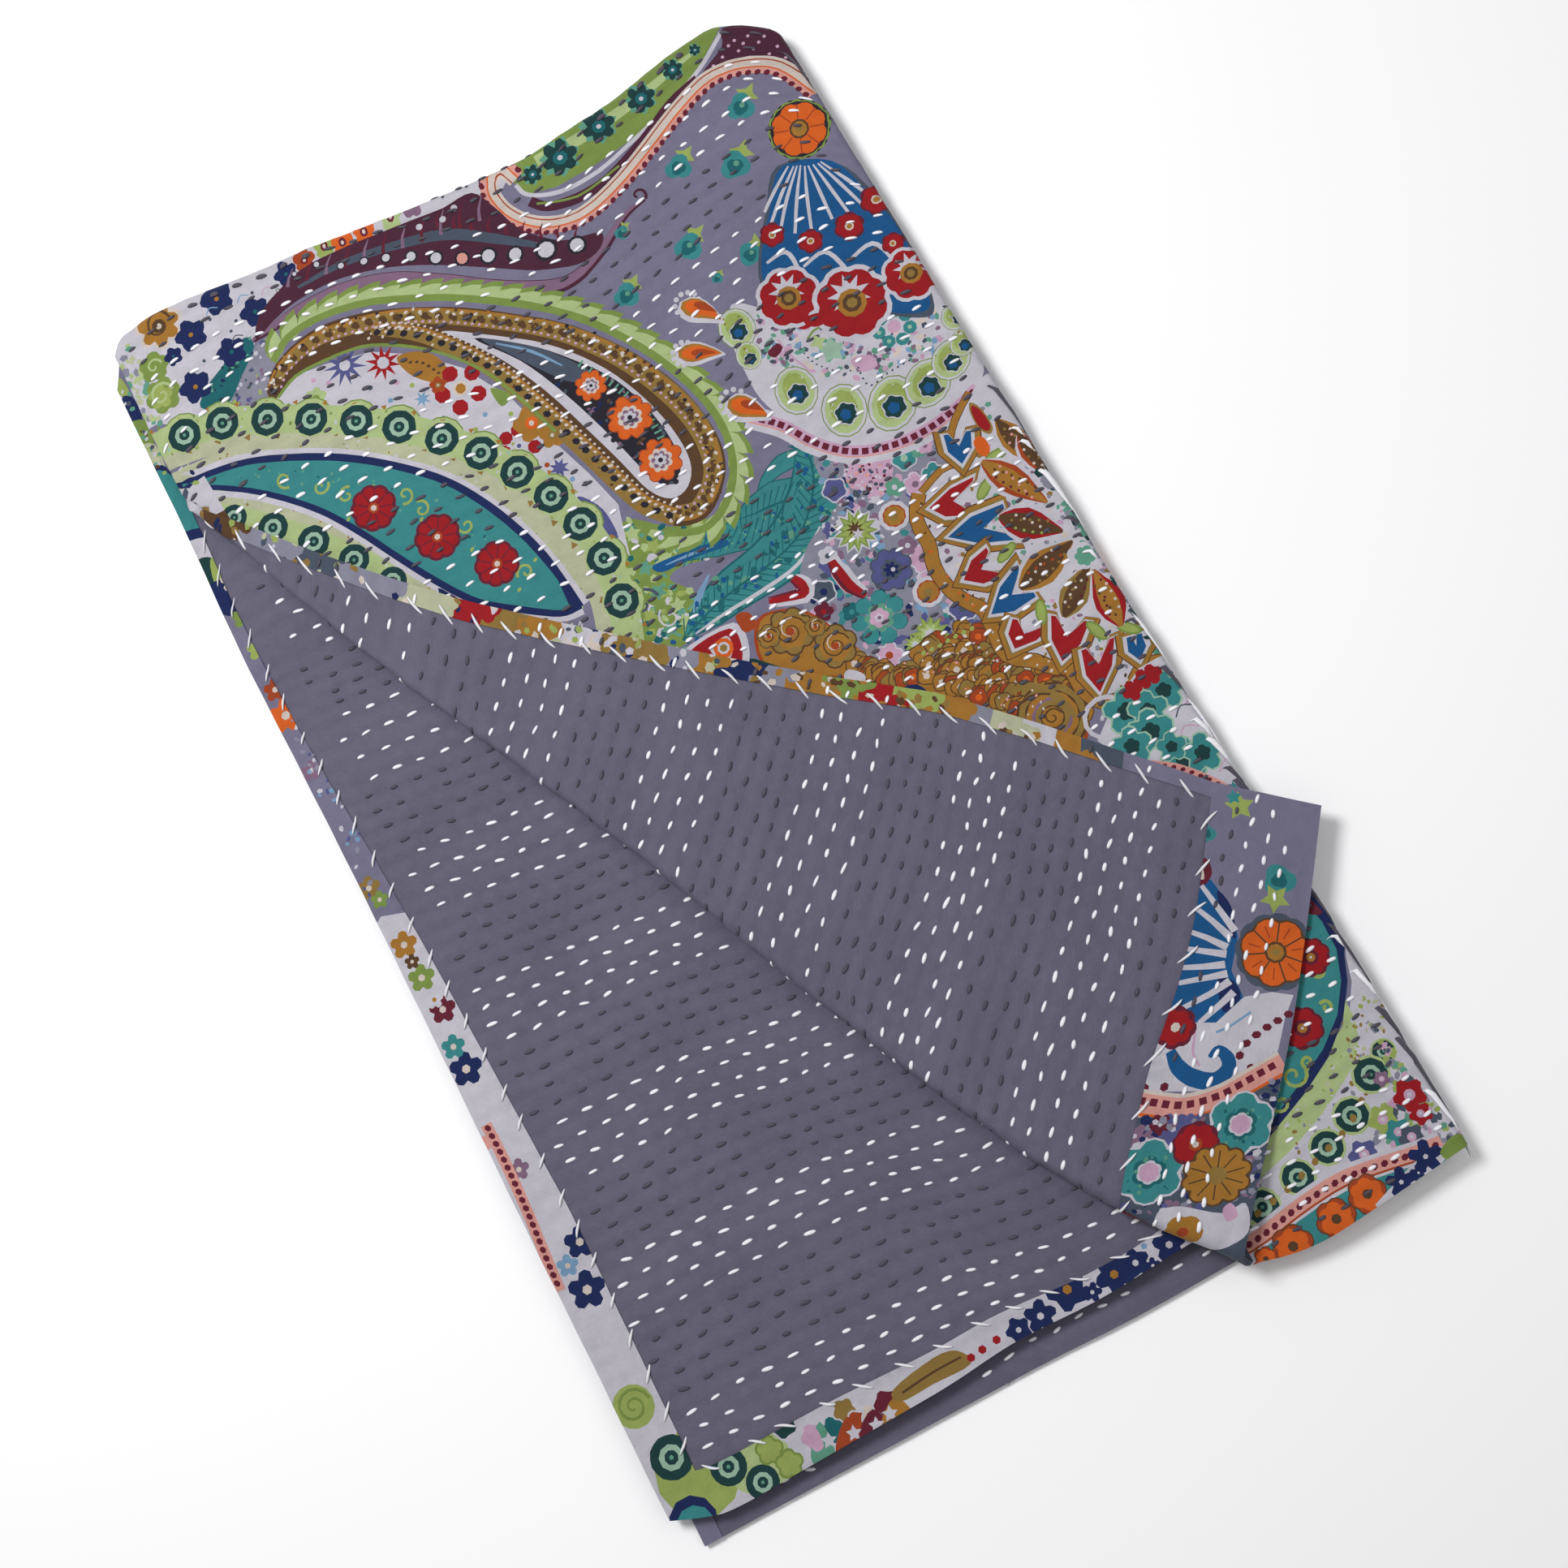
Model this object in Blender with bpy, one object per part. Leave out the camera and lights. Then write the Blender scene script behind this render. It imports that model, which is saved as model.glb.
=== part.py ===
"""A kantha quilt folded into a flat pack, with one corner of its top layer turned back.

The quilt is a printed cotton front and a plain grey backing. It is folded in half across
its width at the pack's right edge, then in half along its length at the far edge, so four
layers lie on the table. The near left corner of the top layer is folded up and over along
a slanting line and sticks out past the right edge. The front is wider than the backing
and is turned over onto it as a hem along the near edge and both long sides.

Metres. X runs towards the right fold, Y towards the far fold, Z is up from the table.
"""

import math

import bmesh
import bpy
import numpy as np

# Plies, counted from the face of the print inwards
PRINT_PLY = 0.0010
BACKING_PLY = 0.0010
PLY_GAP = 0.0003
SHEET = PRINT_PLY + PLY_GAP + BACKING_PLY
HEM_DEPTH = SHEET + PLY_GAP + PRINT_PLY

# Gaps between folded layers: grey against grey also holds two hems
GREY_GAP = 0.0034
PRINT_GAP = 0.0010
TOP = 4 * SHEET + 2 * GREY_GAP + PRINT_GAP

# The pack, before it is centred
LEFT_TOP = -0.246
LEFT_SECOND = -0.256
RIGHT = 0.248
NEAR = -0.430
FAR = 0.415
NEAR_FOURTH = -0.424
NEAR_THIRD = -0.396

# The slanting fold of the top layer's near left corner
FLAP_START = np.array((-0.248, 0.299))
FLAP_END = np.array((0.106, -0.419))
FLAP_LENGTH = float(np.linalg.norm(FLAP_END - FLAP_START))
FLAP_ALONG = (FLAP_END - FLAP_START) / FLAP_LENGTH
FLAP_OUT = np.array((FLAP_ALONG[1], -FLAP_ALONG[0]))
FLAP_RADIUS = (0.0019, 0.0056)
FLAP_GAP = 0.0016
FLAP_SETTLE = 0.090
BOW_REACH = 0.120

# Widths of cells, and steps in each fold
TOP_CELLS = 11
SECOND_CELLS = 10
NEAR_CELLS = 34
LOWER_CELLS = 6
FOLD_STEPS = 6
FLAP_STEPS = 6
FAR_FOLD_FLAT = 0.014

# Quilting: soft ridges across the width, one for every fourth row of stitches
RIDGE = 0.0007

# The hem lies between these lines of the pattern and is then set to its true width
HEM_LINE = 0.020
NEAR_HEM_LINE = 0.030
HEM_BLEND = 0.080
WALL = PRINT_PLY
INSET = PRINT_PLY + PLY_GAP

# Millimetres: place along the edge, distance
TOP_LEFT_SHIFT = (  # y, shift of the top layer's left edge towards the right
    (-437, 87), (-397, 79), (-310, 64), (-208, 47), (-135, 46),
    (-59, 42), (44, 32), (97, 26), (200, 12), (299, 0), (360, -1), (440, 1),
)
NEAR_SHIFT_TOP = (  # x, shift of the top layer's near edge towards the far fold
    (-260, -7), (-118, -6), (-21, -3), (48, 1), (95, 3), (120, -4), (150, -7),
    (186, -4), (225, 0), (250, 3),
)
NEAR_SHIFT_SECOND = (  # x, shift of the second layer's near edge
    (-262, 34), (-254, 29), (-243, 19), (-219, 17), (-144, 19), (-72, 21), (-33, 25), (28, 26),
    (85, 30), (140, 28), (200, 18), (250, 3),
)
NEAR_HEM_TOP = ((-160, 62), (-60, 70), (28, 68), (140, 58), (250, 45))  # x, width
NEAR_HEM_SECOND = ((-256, 29), (-140, 27), (-33, 20), (80, 17), (250, 45))  # x, width
SIDE_HEM_TOP = ((-430, 9), (-200, 12), (100, 12), (300, 9), (415, 12))  # y, width
SIDE_HEM_SECOND = (  # y, width
    (-430, 27), (-214, 29), (-100, 24), (54, 16), (130, 12), (236, 9), (415, 12),
)
FAR_SHIFT = (  # x, shift of the far edge
    (-262, -6), (-256, -1), (-247, 18), (-240, 28), (-231, 27), (-216, 30), (-190, 27), (-127, 17), (-97, 14), (-33, 1),
    (27, -7), (61, -11), (91, -9), (122, -7), (173, 1), (205, 3), (216, -3),
    (230, -12), (243, -26), (262, -34),
)
RIGHT_SHIFT = ((-430, 5), (-254, 4), (-71, -2), (130, -3), (320, -5), (430, -6))
FLAP_BOW = (  # distance along the slanting fold, how far it bows out
    (0, 0), (100, 5), (200, 7), (300, 8), (400, 11), (500, 18), (600, 22),
    (690, 21), (750, 14), (800, 0),
)
SWELLS = (  # wavelength across, wavelength along, phase, height
    (210, 370, 0.4, 0.55), (-150, 260, 1.9, 0.45), (95, 140, 3.0, 0.30),
    (-70, 110, 5.1, 0.22),
)

PRINT_SLOT = dict(name="printed_cotton", color=(0.55, 0.53, 0.55), roughness=0.88)
GREY_SLOT = dict(name="grey_cotton", color=(0.105, 0.10, 0.14), roughness=0.90)


def curve(table, at, spread=0.012):
    """Reads a table of millimetres at these places, with its corners softened."""
    places, values = np.array(table, float).T / 1000
    steps = np.linspace(-spread, spread, 5)
    return sum(np.interp(at + step, places, values) for step in steps) / len(steps)


def ease(x):
    x = np.clip(x, 0, 1)
    return x * x * (3 - 2 * x)


# The right fold, whose axis lies between the two grey faces
RIGHT_RADIUS = SHEET + GREY_GAP / 2
RIGHT_AXIS = TOP - RIGHT_RADIUS
RIGHT_START = RIGHT - RIGHT_RADIUS
RIGHT_FLAT = math.pi * (RIGHT_RADIUS - SHEET / 2)
RIGHT_END = RIGHT_START + RIGHT_FLAT
SECOND_EDGE = RIGHT_END + RIGHT_START - LEFT_SECOND

# The far fold, whose axis lies between the second and third layers' prints
FAR_AXIS = TOP - 2 * SHEET - GREY_GAP - PRINT_GAP / 2
FAR_START = FAR - (TOP - FAR_AXIS)
FAR_END = FAR_START + FAR_FOLD_FLAT
LOWER_LENGTH = FAR_START - NEAR_FOURTH
PATTERN_END = FAR_END + LOWER_LENGTH


RIDGE_PITCH = 2 * (FAR_START - NEAR - NEAR_HEM_LINE) / NEAR_CELLS


def quilting(y):
    """How high the two upper layers stand at each place along the quilt."""
    wave = 0.5 - 0.5 * np.cos(2 * math.pi * (FAR_START - y) / RIDGE_PITCH)
    return RIDGE * wave * ease((FAR_START - y) / 0.04)


def flap_radius(along):
    share = np.clip(along / FLAP_LENGTH, 0, 1)
    return FLAP_RADIUS[0] + share * (FLAP_RADIUS[1] - FLAP_RADIUS[0])


def outline(points):
    """Moves the straight pattern's points so its edges and hem lines are as cut."""
    x, y = points[:, 0].copy(), points[:, 1].copy()
    folded = np.where(x > RIGHT_END, RIGHT_START - (x - RIGHT_END), x)
    top = x < (RIGHT_START + RIGHT_END) / 2
    upper = 1 - ease((y - FAR_START + 0.05) / 0.05)

    # Side hems: the line at HEM_LINE goes to the hem's true width
    from_edge = np.where(top, x - LEFT_TOP, SECOND_EDGE - x)
    width = np.where(top, curve(SIDE_HEM_TOP, y), curve(SIDE_HEM_SECOND, y))
    inside = np.clip((from_edge - HEM_LINE) / (HEM_BLEND - HEM_LINE), 0, 1)
    beyond = width * (1 - inside) + HEM_BLEND * inside
    thin = np.clip((from_edge - INSET) / (HEM_LINE - INSET), 0, 1)
    placed = np.where(
        from_edge < HEM_LINE,
        np.where(from_edge <= INSET, from_edge, INSET + (width - INSET) * thin),
        np.where(from_edge < HEM_BLEND, beyond, from_edge),
    )
    moved_x = np.where(top, LEFT_TOP + placed, SECOND_EDGE - placed)

    # The near hem, and the near edge's own unevenness
    from_near = y - NEAR
    width = np.where(top, curve(NEAR_HEM_TOP, folded), curve(NEAR_HEM_SECOND, folded))
    edge = np.where(top, curve(NEAR_SHIFT_TOP, folded), curve(NEAR_SHIFT_SECOND, folded))
    blend = 0.16
    thin = np.clip((from_near - INSET) / (NEAR_HEM_LINE - INSET), 0, 1)
    inside = np.clip((from_near - NEAR_HEM_LINE) / (blend - NEAR_HEM_LINE), 0, 1)
    placed = np.where(
        from_near < NEAR_HEM_LINE,
        np.where(from_near <= INSET, from_near, INSET + (width - INSET) * thin),
        width * (1 - inside) + blend * inside,
    )
    moved_y = np.where(from_near < blend, NEAR + placed, y)
    moved_y = moved_y + edge * (1 - ease(from_near / 0.22))

    # The top layer's left edge slants in towards its near corner
    reach = ease((RIGHT_START - 0.04 - x) / (RIGHT_START - 0.04 - LEFT_TOP - 0.04))
    moved_x = moved_x + np.where(top, curve(TOP_LEFT_SHIFT, y) * upper * reach, 0)
    return np.stack([moved_x, moved_y], axis=1)


def fold(x, y, depth):
    """The folded place of points of the flat quilt at these depths under its print."""
    # The right fold
    turn = math.pi * np.clip((x - RIGHT_START) / RIGHT_FLAT, 0, 1)
    depth = depth - quilting(y) * np.cos(turn)
    radius = RIGHT_RADIUS - depth
    px = np.where(x < RIGHT_END, np.minimum(x, RIGHT_START), RIGHT_START - (x - RIGHT_END))
    px = px + radius * np.sin(turn)
    pz = RIGHT_AXIS + radius * np.cos(turn)

    # The slanting fold, of the top layer only
    offset = np.stack([x, y], axis=1) - FLAP_START
    along, out = offset @ FLAP_ALONG, offset @ FLAP_OUT
    inner = flap_radius(along)
    start = -(inner + SHEET)
    middle = inner + SHEET / 2
    past = out - start
    flap = (x < RIGHT_START) & (y < FAR_START) & (past > 0)
    turn = np.clip(past / middle, 0, math.pi)
    radius = inner + depth
    over = np.maximum(past - math.pi * middle, 0)
    placed = start + radius * np.sin(turn) - over
    height = TOP + inner - radius * np.cos(turn)
    height = height - (2 * inner - FLAP_GAP) * ease(over / FLAP_SETTLE)
    flat = FLAP_START + along[:, None] * FLAP_ALONG + placed[:, None] * FLAP_OUT
    px = np.where(flap, flat[:, 0], px)
    py = np.where(flap, flat[:, 1], y)
    pz = np.where(flap, height, pz)

    # The far fold, of both layers together
    past = y - FAR_START
    turn = math.pi * np.clip(past / FAR_FOLD_FLAT, 0, 1)
    radius = pz - FAR_AXIS
    share = np.clip((x - RIGHT_START) / RIGHT_FLAT, 0, 1)
    short = (FAR_START - NEAR_THIRD) / LOWER_LENGTH
    scale = 1 + (short - 1) * share
    lower = FAR_START - (past - FAR_FOLD_FLAT) * scale
    py = np.where(past > 0, np.where(turn < math.pi, FAR_START, lower), py)
    py = py + np.where(past > 0, radius * np.sin(turn), 0)
    pz = np.where(past > 0, FAR_AXIS + radius * np.cos(turn), pz)
    return np.stack([px, py, pz], axis=1)


def settle(points):
    """Gives the folded pack its uneven edges and its soft swells; the base stays flat."""
    x, y, z = points.T
    offset = points[:, :2] - FLAP_START
    along, out = offset @ FLAP_ALONG, offset @ FLAP_OUT
    bow = curve(FLAP_BOW, along, 0.02) * (1 - ease(np.abs(out) / BOW_REACH))
    x, y = x + bow * FLAP_OUT[0], y + bow * FLAP_OUT[1]
    x = x + curve(RIGHT_SHIFT, y, 0.04) * ease(1 - (RIGHT - x) / 0.20)
    y = y + curve(FAR_SHIFT, x, 0.006) * ease(1 - (FAR - y) / 0.30)
    swell = sum(
        height / 1000 * np.sin(2 * math.pi * (x / across + y / along) * 1000 + phase)
        for across, along, phase, height in SWELLS
    )
    z = z + swell * z / TOP
    return np.stack([x, y, z], axis=1)


def place(points):
    """Folds points given as across, along, depth."""
    return settle(fold(points[:, 0], points[:, 1], points[:, 2]))


def stations():
    """Pattern lines across and along the flat quilt."""
    turns = np.linspace(0, 1, FOLD_STEPS + 1)
    top = np.linspace(LEFT_TOP + HEM_LINE, RIGHT_START, TOP_CELLS + 1)
    second = np.linspace(RIGHT_END, SECOND_EDGE - HEM_LINE, SECOND_CELLS + 1)
    near = np.linspace(NEAR + NEAR_HEM_LINE, FAR_START, NEAR_CELLS + 1)
    lower = np.linspace(FAR_END, PATTERN_END, LOWER_CELLS + 1)
    across = [LEFT_TOP + WALL, LEFT_TOP + INSET, *top]
    across += [*(RIGHT_START + RIGHT_FLAT * turns[1:-1]), *second]
    across += [SECOND_EDGE - INSET, SECOND_EDGE - WALL]
    along = [NEAR + WALL, NEAR + INSET, *near]
    along += [*(FAR_START + FAR_FOLD_FLAT * turns[1:-1]), *lower[:-1]]
    return across, along


def cut(bm, point, normal):
    bmesh.ops.bisect_plane(
        bm, geom=[*bm.verts, *bm.edges, *bm.faces], dist=1e-7, plane_co=point, plane_no=normal
    )


def pattern():
    """The flat quilt as one sheet, cut along every line where it folds or is hemmed."""
    bm = bmesh.new()
    bmesh.ops.create_grid(bm, x_segments=1, y_segments=1, size=0.5)
    middle = ((LEFT_TOP + SECOND_EDGE) / 2, (NEAR + PATTERN_END) / 2, 0)
    bmesh.ops.scale(bm, vec=(SECOND_EDGE - LEFT_TOP, PATTERN_END - NEAR, 1), verts=bm.verts)
    bmesh.ops.translate(bm, vec=middle, verts=bm.verts)
    across, along = stations()
    for x in across:
        cut(bm, (x, 0, 0), (1, 0, 0))
    for y in along:
        cut(bm, (0, y, 0), (0, 1, 0))
    zone = bm.faces.layers.int.new("zone")
    for face in bm.faces:
        x, y, _ = face.calc_center_median()
        side = min(x - LEFT_TOP, SECOND_EDGE - x)
        near = y - NEAR
        face[zone] = sum(
            (
                side < WALL or near < WALL,
                side < INSET or near < INSET,
                side < HEM_LINE or near < NEAR_HEM_LINE,
            )
        )
    points = np.array([vert.co[:] for vert in bm.verts])
    for vert, (x, y) in zip(bm.verts, outline(points)):
        vert.co = (x, y, 0)
    for turn in np.linspace(0, math.pi, FLAP_STEPS + 1):
        ends = []
        for along in (0, FLAP_LENGTH):
            inner = float(flap_radius(along))
            out = turn * (inner + SHEET / 2) - (inner + SHEET)
            ends.append(FLAP_START + along * FLAP_ALONG + out * FLAP_OUT)
        (x0, y0), (x1, y1) = ends
        cut(bm, (x0, y0, 0), (y0 - y1, x1 - x0, 0))
    bmesh.ops.dissolve_degenerate(bm, dist=2e-5, edges=bm.edges)
    bmesh.ops.triangulate(bm, faces=bm.faces)
    return bm


def slab(bm, faces, top, bottom):
    """Thickens a copy of flat faces between two depths."""
    copy = bmesh.ops.duplicate(bm, geom=faces)["geom"]
    upper = [item for item in copy if isinstance(item, bmesh.types.BMFace)]
    rim = [item for item in copy if isinstance(item, bmesh.types.BMVert)]
    made = bmesh.ops.extrude_face_region(bm, geom=upper, use_keep_orig=True)["geom"]
    for vert in rim:
        vert.co.z = -top
    for vert in (item for item in made if isinstance(item, bmesh.types.BMVert)):
        vert.co.z = -bottom


def sew(bm):
    """Joins touching slabs, dropping the faces between them."""
    seen = {}
    for face in bm.faces:
        key = frozenset(tuple(round(c, 6) for c in vert.co) for vert in face.verts)
        seen.setdefault(key, []).append(face)
    inner = [face for faces in seen.values() if len(faces) > 1 for face in faces]
    bmesh.ops.delete(bm, geom=inner, context="FACES")
    bmesh.ops.remove_doubles(bm, verts=bm.verts, dist=1e-6)


def cloth(name, layers, slot, collection):
    """Builds one cloth: layers holds the depths of each slab and the zones it covers."""
    bm = pattern()
    zone = bm.faces.layers.int["zone"]
    flat = list(bm.faces)
    for top, bottom, zones in layers:
        slab(bm, [face for face in flat if face[zone] in zones], top, bottom)
    bmesh.ops.delete(bm, geom=flat, context="FACES")
    sew(bm)
    bmesh.ops.recalc_face_normals(bm, faces=bm.faces)
    points = np.array([vert.co[:] for vert in bm.verts])
    for vert, co in zip(bm.verts, place(points * (1, 1, -1))):
        vert.co = co
    mesh = bpy.data.meshes.new(name)
    bm.to_mesh(mesh)
    bm.free()
    mesh.materials.append(slot)
    obj = bpy.data.objects.new(name, mesh)
    collection.objects.link(obj)
    return obj


def material(name, color, roughness):
    made = bpy.data.materials.new(name)
    made.use_nodes = True
    shader = made.node_tree.nodes["Principled BSDF"]
    shader.inputs["Base Color"].default_value = (*color, 1)
    shader.inputs["Roughness"].default_value = roughness
    shader.inputs["Metallic"].default_value = 0
    return made


def centre(objects):
    """Puts the middle of the pack's base at the origin."""
    corners = []
    for obj in objects:
        points = np.empty(len(obj.data.vertices) * 3)
        obj.data.vertices.foreach_get("co", points)
        corners.append(points.reshape(-1, 3))
    points = np.concatenate(corners)
    low, high = points.min(axis=0), points.max(axis=0)
    shift = np.array([(low[0] + high[0]) / 2, (low[1] + high[1]) / 2, low[2]])
    for obj, own in zip(objects, corners):
        obj.data.vertices.foreach_set("co", (own - shift).ravel())
        obj.data.update()


def build():
    for obj in list(bpy.data.objects):
        bpy.data.objects.remove(obj)
    collection = bpy.data.collections.new("kantha_quilt")
    bpy.context.scene.collection.children.link(collection)
    everywhere = (0, 1, 2, 3)
    front = cloth(
        "quilt_front",
        (
            (0, PRINT_PLY, everywhere),
            (PRINT_PLY, HEM_DEPTH - PRINT_PLY, (3,)),
            (HEM_DEPTH - PRINT_PLY, HEM_DEPTH, (1, 2, 3)),
        ),
        material(**PRINT_SLOT),
        collection,
    )
    backing = cloth(
        "quilt_backing",
        ((PRINT_PLY + PLY_GAP, SHEET, (0, 1)),),
        material(**GREY_SLOT),
        collection,
    )
    centre([front, backing])


build()
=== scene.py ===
# Kantha quilt folded into a flat pack: printed cotton, grey backing and its sewing.
# Metres. X runs towards the right fold, Y towards the far fold, Z is up from the table.

import math

import bpy
import numpy as np
from mathutils import Matrix, Vector
from mathutils.geometry import delaunay_2d_cdt


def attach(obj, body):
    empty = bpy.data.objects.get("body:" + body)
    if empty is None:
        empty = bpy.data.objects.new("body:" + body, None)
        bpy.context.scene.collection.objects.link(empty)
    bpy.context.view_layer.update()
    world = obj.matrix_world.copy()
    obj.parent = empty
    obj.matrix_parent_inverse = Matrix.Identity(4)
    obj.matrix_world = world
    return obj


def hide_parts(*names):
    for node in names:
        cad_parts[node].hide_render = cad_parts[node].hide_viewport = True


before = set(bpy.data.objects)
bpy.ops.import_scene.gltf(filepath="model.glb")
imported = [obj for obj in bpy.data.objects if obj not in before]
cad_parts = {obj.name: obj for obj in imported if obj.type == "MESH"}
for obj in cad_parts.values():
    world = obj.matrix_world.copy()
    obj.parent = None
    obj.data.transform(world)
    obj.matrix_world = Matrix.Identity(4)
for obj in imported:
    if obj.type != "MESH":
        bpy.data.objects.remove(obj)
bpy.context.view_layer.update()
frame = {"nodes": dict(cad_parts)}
bpy.ops.object.select_all(action="DESELECT")
dice = np.random.default_rng(11)
print("frame loaded:", ", ".join(frame["nodes"]))

# How the two cloths are folded: plies, gaps between layers, and the pack's edges
pack = dict(
    printPly=0.0010, backingPly=0.0010, plyGap=0.0003, greyGap=0.0034, printGap=0.0010,
    leftTop=-0.246, leftSecond=-0.256, right=0.248, near=-0.430, far=0.415,
    nearFourth=-0.424, nearThird=-0.396, farFoldFlat=0.014, centre=(0.011359, 0.003164),
)
sheetDepth = pack["printPly"] + pack["plyGap"] + pack["backingPly"]
hemDepth = sheetDepth + pack["plyGap"] + pack["printPly"]
packTop = 4 * sheetDepth + 2 * pack["greyGap"] + pack["printGap"]

# The right fold turns about the middle of the grey faces, the far fold about the prints
rightRadius = sheetDepth + pack["greyGap"] / 2
rightAxis = packTop - rightRadius
rightStart = pack["right"] - rightRadius
rightFlat = math.pi * (rightRadius - sheetDepth / 2)
rightEnd = rightStart + rightFlat
secondEdge = rightEnd + rightStart - pack["leftSecond"]
farAxis = packTop - 2 * sheetDepth - pack["greyGap"] - pack["printGap"] / 2
farStart = pack["far"] - (packTop - farAxis)
farEnd = farStart + pack["farFoldFlat"]
lowerLength = farStart - pack["nearFourth"]
patternEnd = farEnd + lowerLength

# The top layer's corner is turned back along a slanting line
flap = dict(
    start=np.array((-0.248, 0.299)), end=np.array((0.106, -0.419)),
    radius=(0.0019, 0.0056), gap=0.0016, settle=0.090, bowReach=0.120,
)
flapLength = float(np.linalg.norm(flap["end"] - flap["start"]))
flapAlong = (flap["end"] - flap["start"]) / flapLength
flapOut = np.array((flapAlong[1], -flapAlong[0]))

# Millimetres: place along an edge, distance
edges = dict(
    leftShift=(
        (-437, 87), (-397, 79), (-310, 64), (-208, 47), (-135, 46), (-59, 42), (44, 32),
        (97, 26), (200, 12), (299, 0), (360, -1), (440, 1),
    ),
    nearShiftTop=(
        (-260, -7), (-118, -6), (-21, -3), (48, 1), (95, 3), (120, -4), (150, -7),
        (186, -4), (225, 0), (250, 3),
    ),
    nearShiftSecond=(
        (-262, 34), (-254, 29), (-243, 19), (-219, 17), (-144, 19), (-72, 21), (-33, 25),
        (28, 26), (85, 30), (140, 28), (200, 18), (250, 3),
    ),
    nearHemTop=((-160, 62), (-60, 70), (28, 68), (140, 58), (250, 45)),
    nearHemSecond=((-256, 29), (-140, 27), (-33, 20), (80, 17), (250, 45)),
    sideHemTop=((-430, 9), (-200, 12), (100, 12), (300, 9), (415, 12)),
    sideHemSecond=((-430, 27), (-214, 29), (-100, 24), (54, 16), (130, 12), (236, 9), (415, 12)),
    farShift=(
        (-262, -6), (-256, -1), (-247, 18), (-240, 28), (-231, 27), (-216, 30), (-190, 27),
        (-127, 17), (-97, 14), (-33, 1), (27, -7), (61, -11), (91, -9), (122, -7), (173, 1),
        (205, 3), (216, -3), (230, -12), (243, -26), (262, -34),
    ),
    rightShift=((-430, 5), (-254, 4), (-71, -2), (130, -3), (320, -5), (430, -6)),
    flapBow=(
        (0, 0), (100, 5), (200, 7), (300, 8), (400, 11), (500, 18), (600, 22), (690, 21),
        (750, 14), (800, 0),
    ),
)
hemLines = dict(side=0.020, near=0.030, blend=0.080, nearBlend=0.160, wall=0.0010, inset=0.0013)
swells = ((210, 370, 0.4, 0.55), (-150, 260, 1.9, 0.45), (95, 140, 3.0, 0.30), (-70, 110, 5.1, 0.22))
ridge = dict(height=0.0007, pitch=2 * (farStart - pack["near"] - hemLines["near"]) / 34)


def readEdge(name, at, spread=0.012):
    places, values = np.array(edges[name], float).T / 1000
    steps = np.linspace(-spread, spread, 5)
    return sum(np.interp(at + step, places, values) for step in steps) / len(steps)


def ease(x):
    x = np.clip(x, 0, 1)
    return x * x * (3 - 2 * x)


def ridges(y):  # soft quilting ridges of the two upper layers
    wave = 0.5 - 0.5 * np.cos(2 * math.pi * (farStart - y) / ridge["pitch"])
    return ridge["height"] * wave * ease((farStart - y) / 0.04)


def flapRadius(along):
    share = np.clip(along / flapLength, 0, 1)
    return flap["radius"][0] + share * (flap["radius"][1] - flap["radius"][0])


def cutPattern(points):  # straight pattern to the cloth as it is cut and hemmed
    x, y = points[:, 0].copy(), points[:, 1].copy()
    folded = np.where(x > rightEnd, rightStart - (x - rightEnd), x)
    top = x < (rightStart + rightEnd) / 2
    upper = 1 - ease((y - farStart + 0.05) / 0.05)
    inset, side, blend = hemLines["inset"], hemLines["side"], hemLines["blend"]
    fromEdge = np.where(top, x - pack["leftTop"], secondEdge - x)
    width = np.where(top, readEdge("sideHemTop", y), readEdge("sideHemSecond", y))
    inside = np.clip((fromEdge - side) / (blend - side), 0, 1)
    thin = np.clip((fromEdge - inset) / (side - inset), 0, 1)
    hemmed = np.where(fromEdge <= inset, fromEdge, inset + (width - inset) * thin)
    beyond = np.where(fromEdge < blend, width * (1 - inside) + blend * inside, fromEdge)
    placed = np.where(fromEdge < side, hemmed, beyond)
    movedX = np.where(top, pack["leftTop"] + placed, secondEdge - placed)
    near, blend = hemLines["near"], hemLines["nearBlend"]
    fromNear = y - pack["near"]
    width = np.where(top, readEdge("nearHemTop", folded), readEdge("nearHemSecond", folded))
    shift = np.where(top, readEdge("nearShiftTop", folded), readEdge("nearShiftSecond", folded))
    thin = np.clip((fromNear - inset) / (near - inset), 0, 1)
    inside = np.clip((fromNear - near) / (blend - near), 0, 1)
    hemmed = np.where(fromNear <= inset, fromNear, inset + (width - inset) * thin)
    placed = np.where(fromNear < near, hemmed, width * (1 - inside) + blend * inside)
    movedY = np.where(fromNear < blend, pack["near"] + placed, y)
    movedY = movedY + shift * (1 - ease(fromNear / 0.22))
    reach = ease((rightStart - 0.04 - x) / (rightStart - 0.04 - pack["leftTop"] - 0.04))
    movedX = movedX + np.where(top, readEdge("leftShift", y) * upper * reach, 0)
    return np.stack([movedX, movedY], axis=1)


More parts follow.
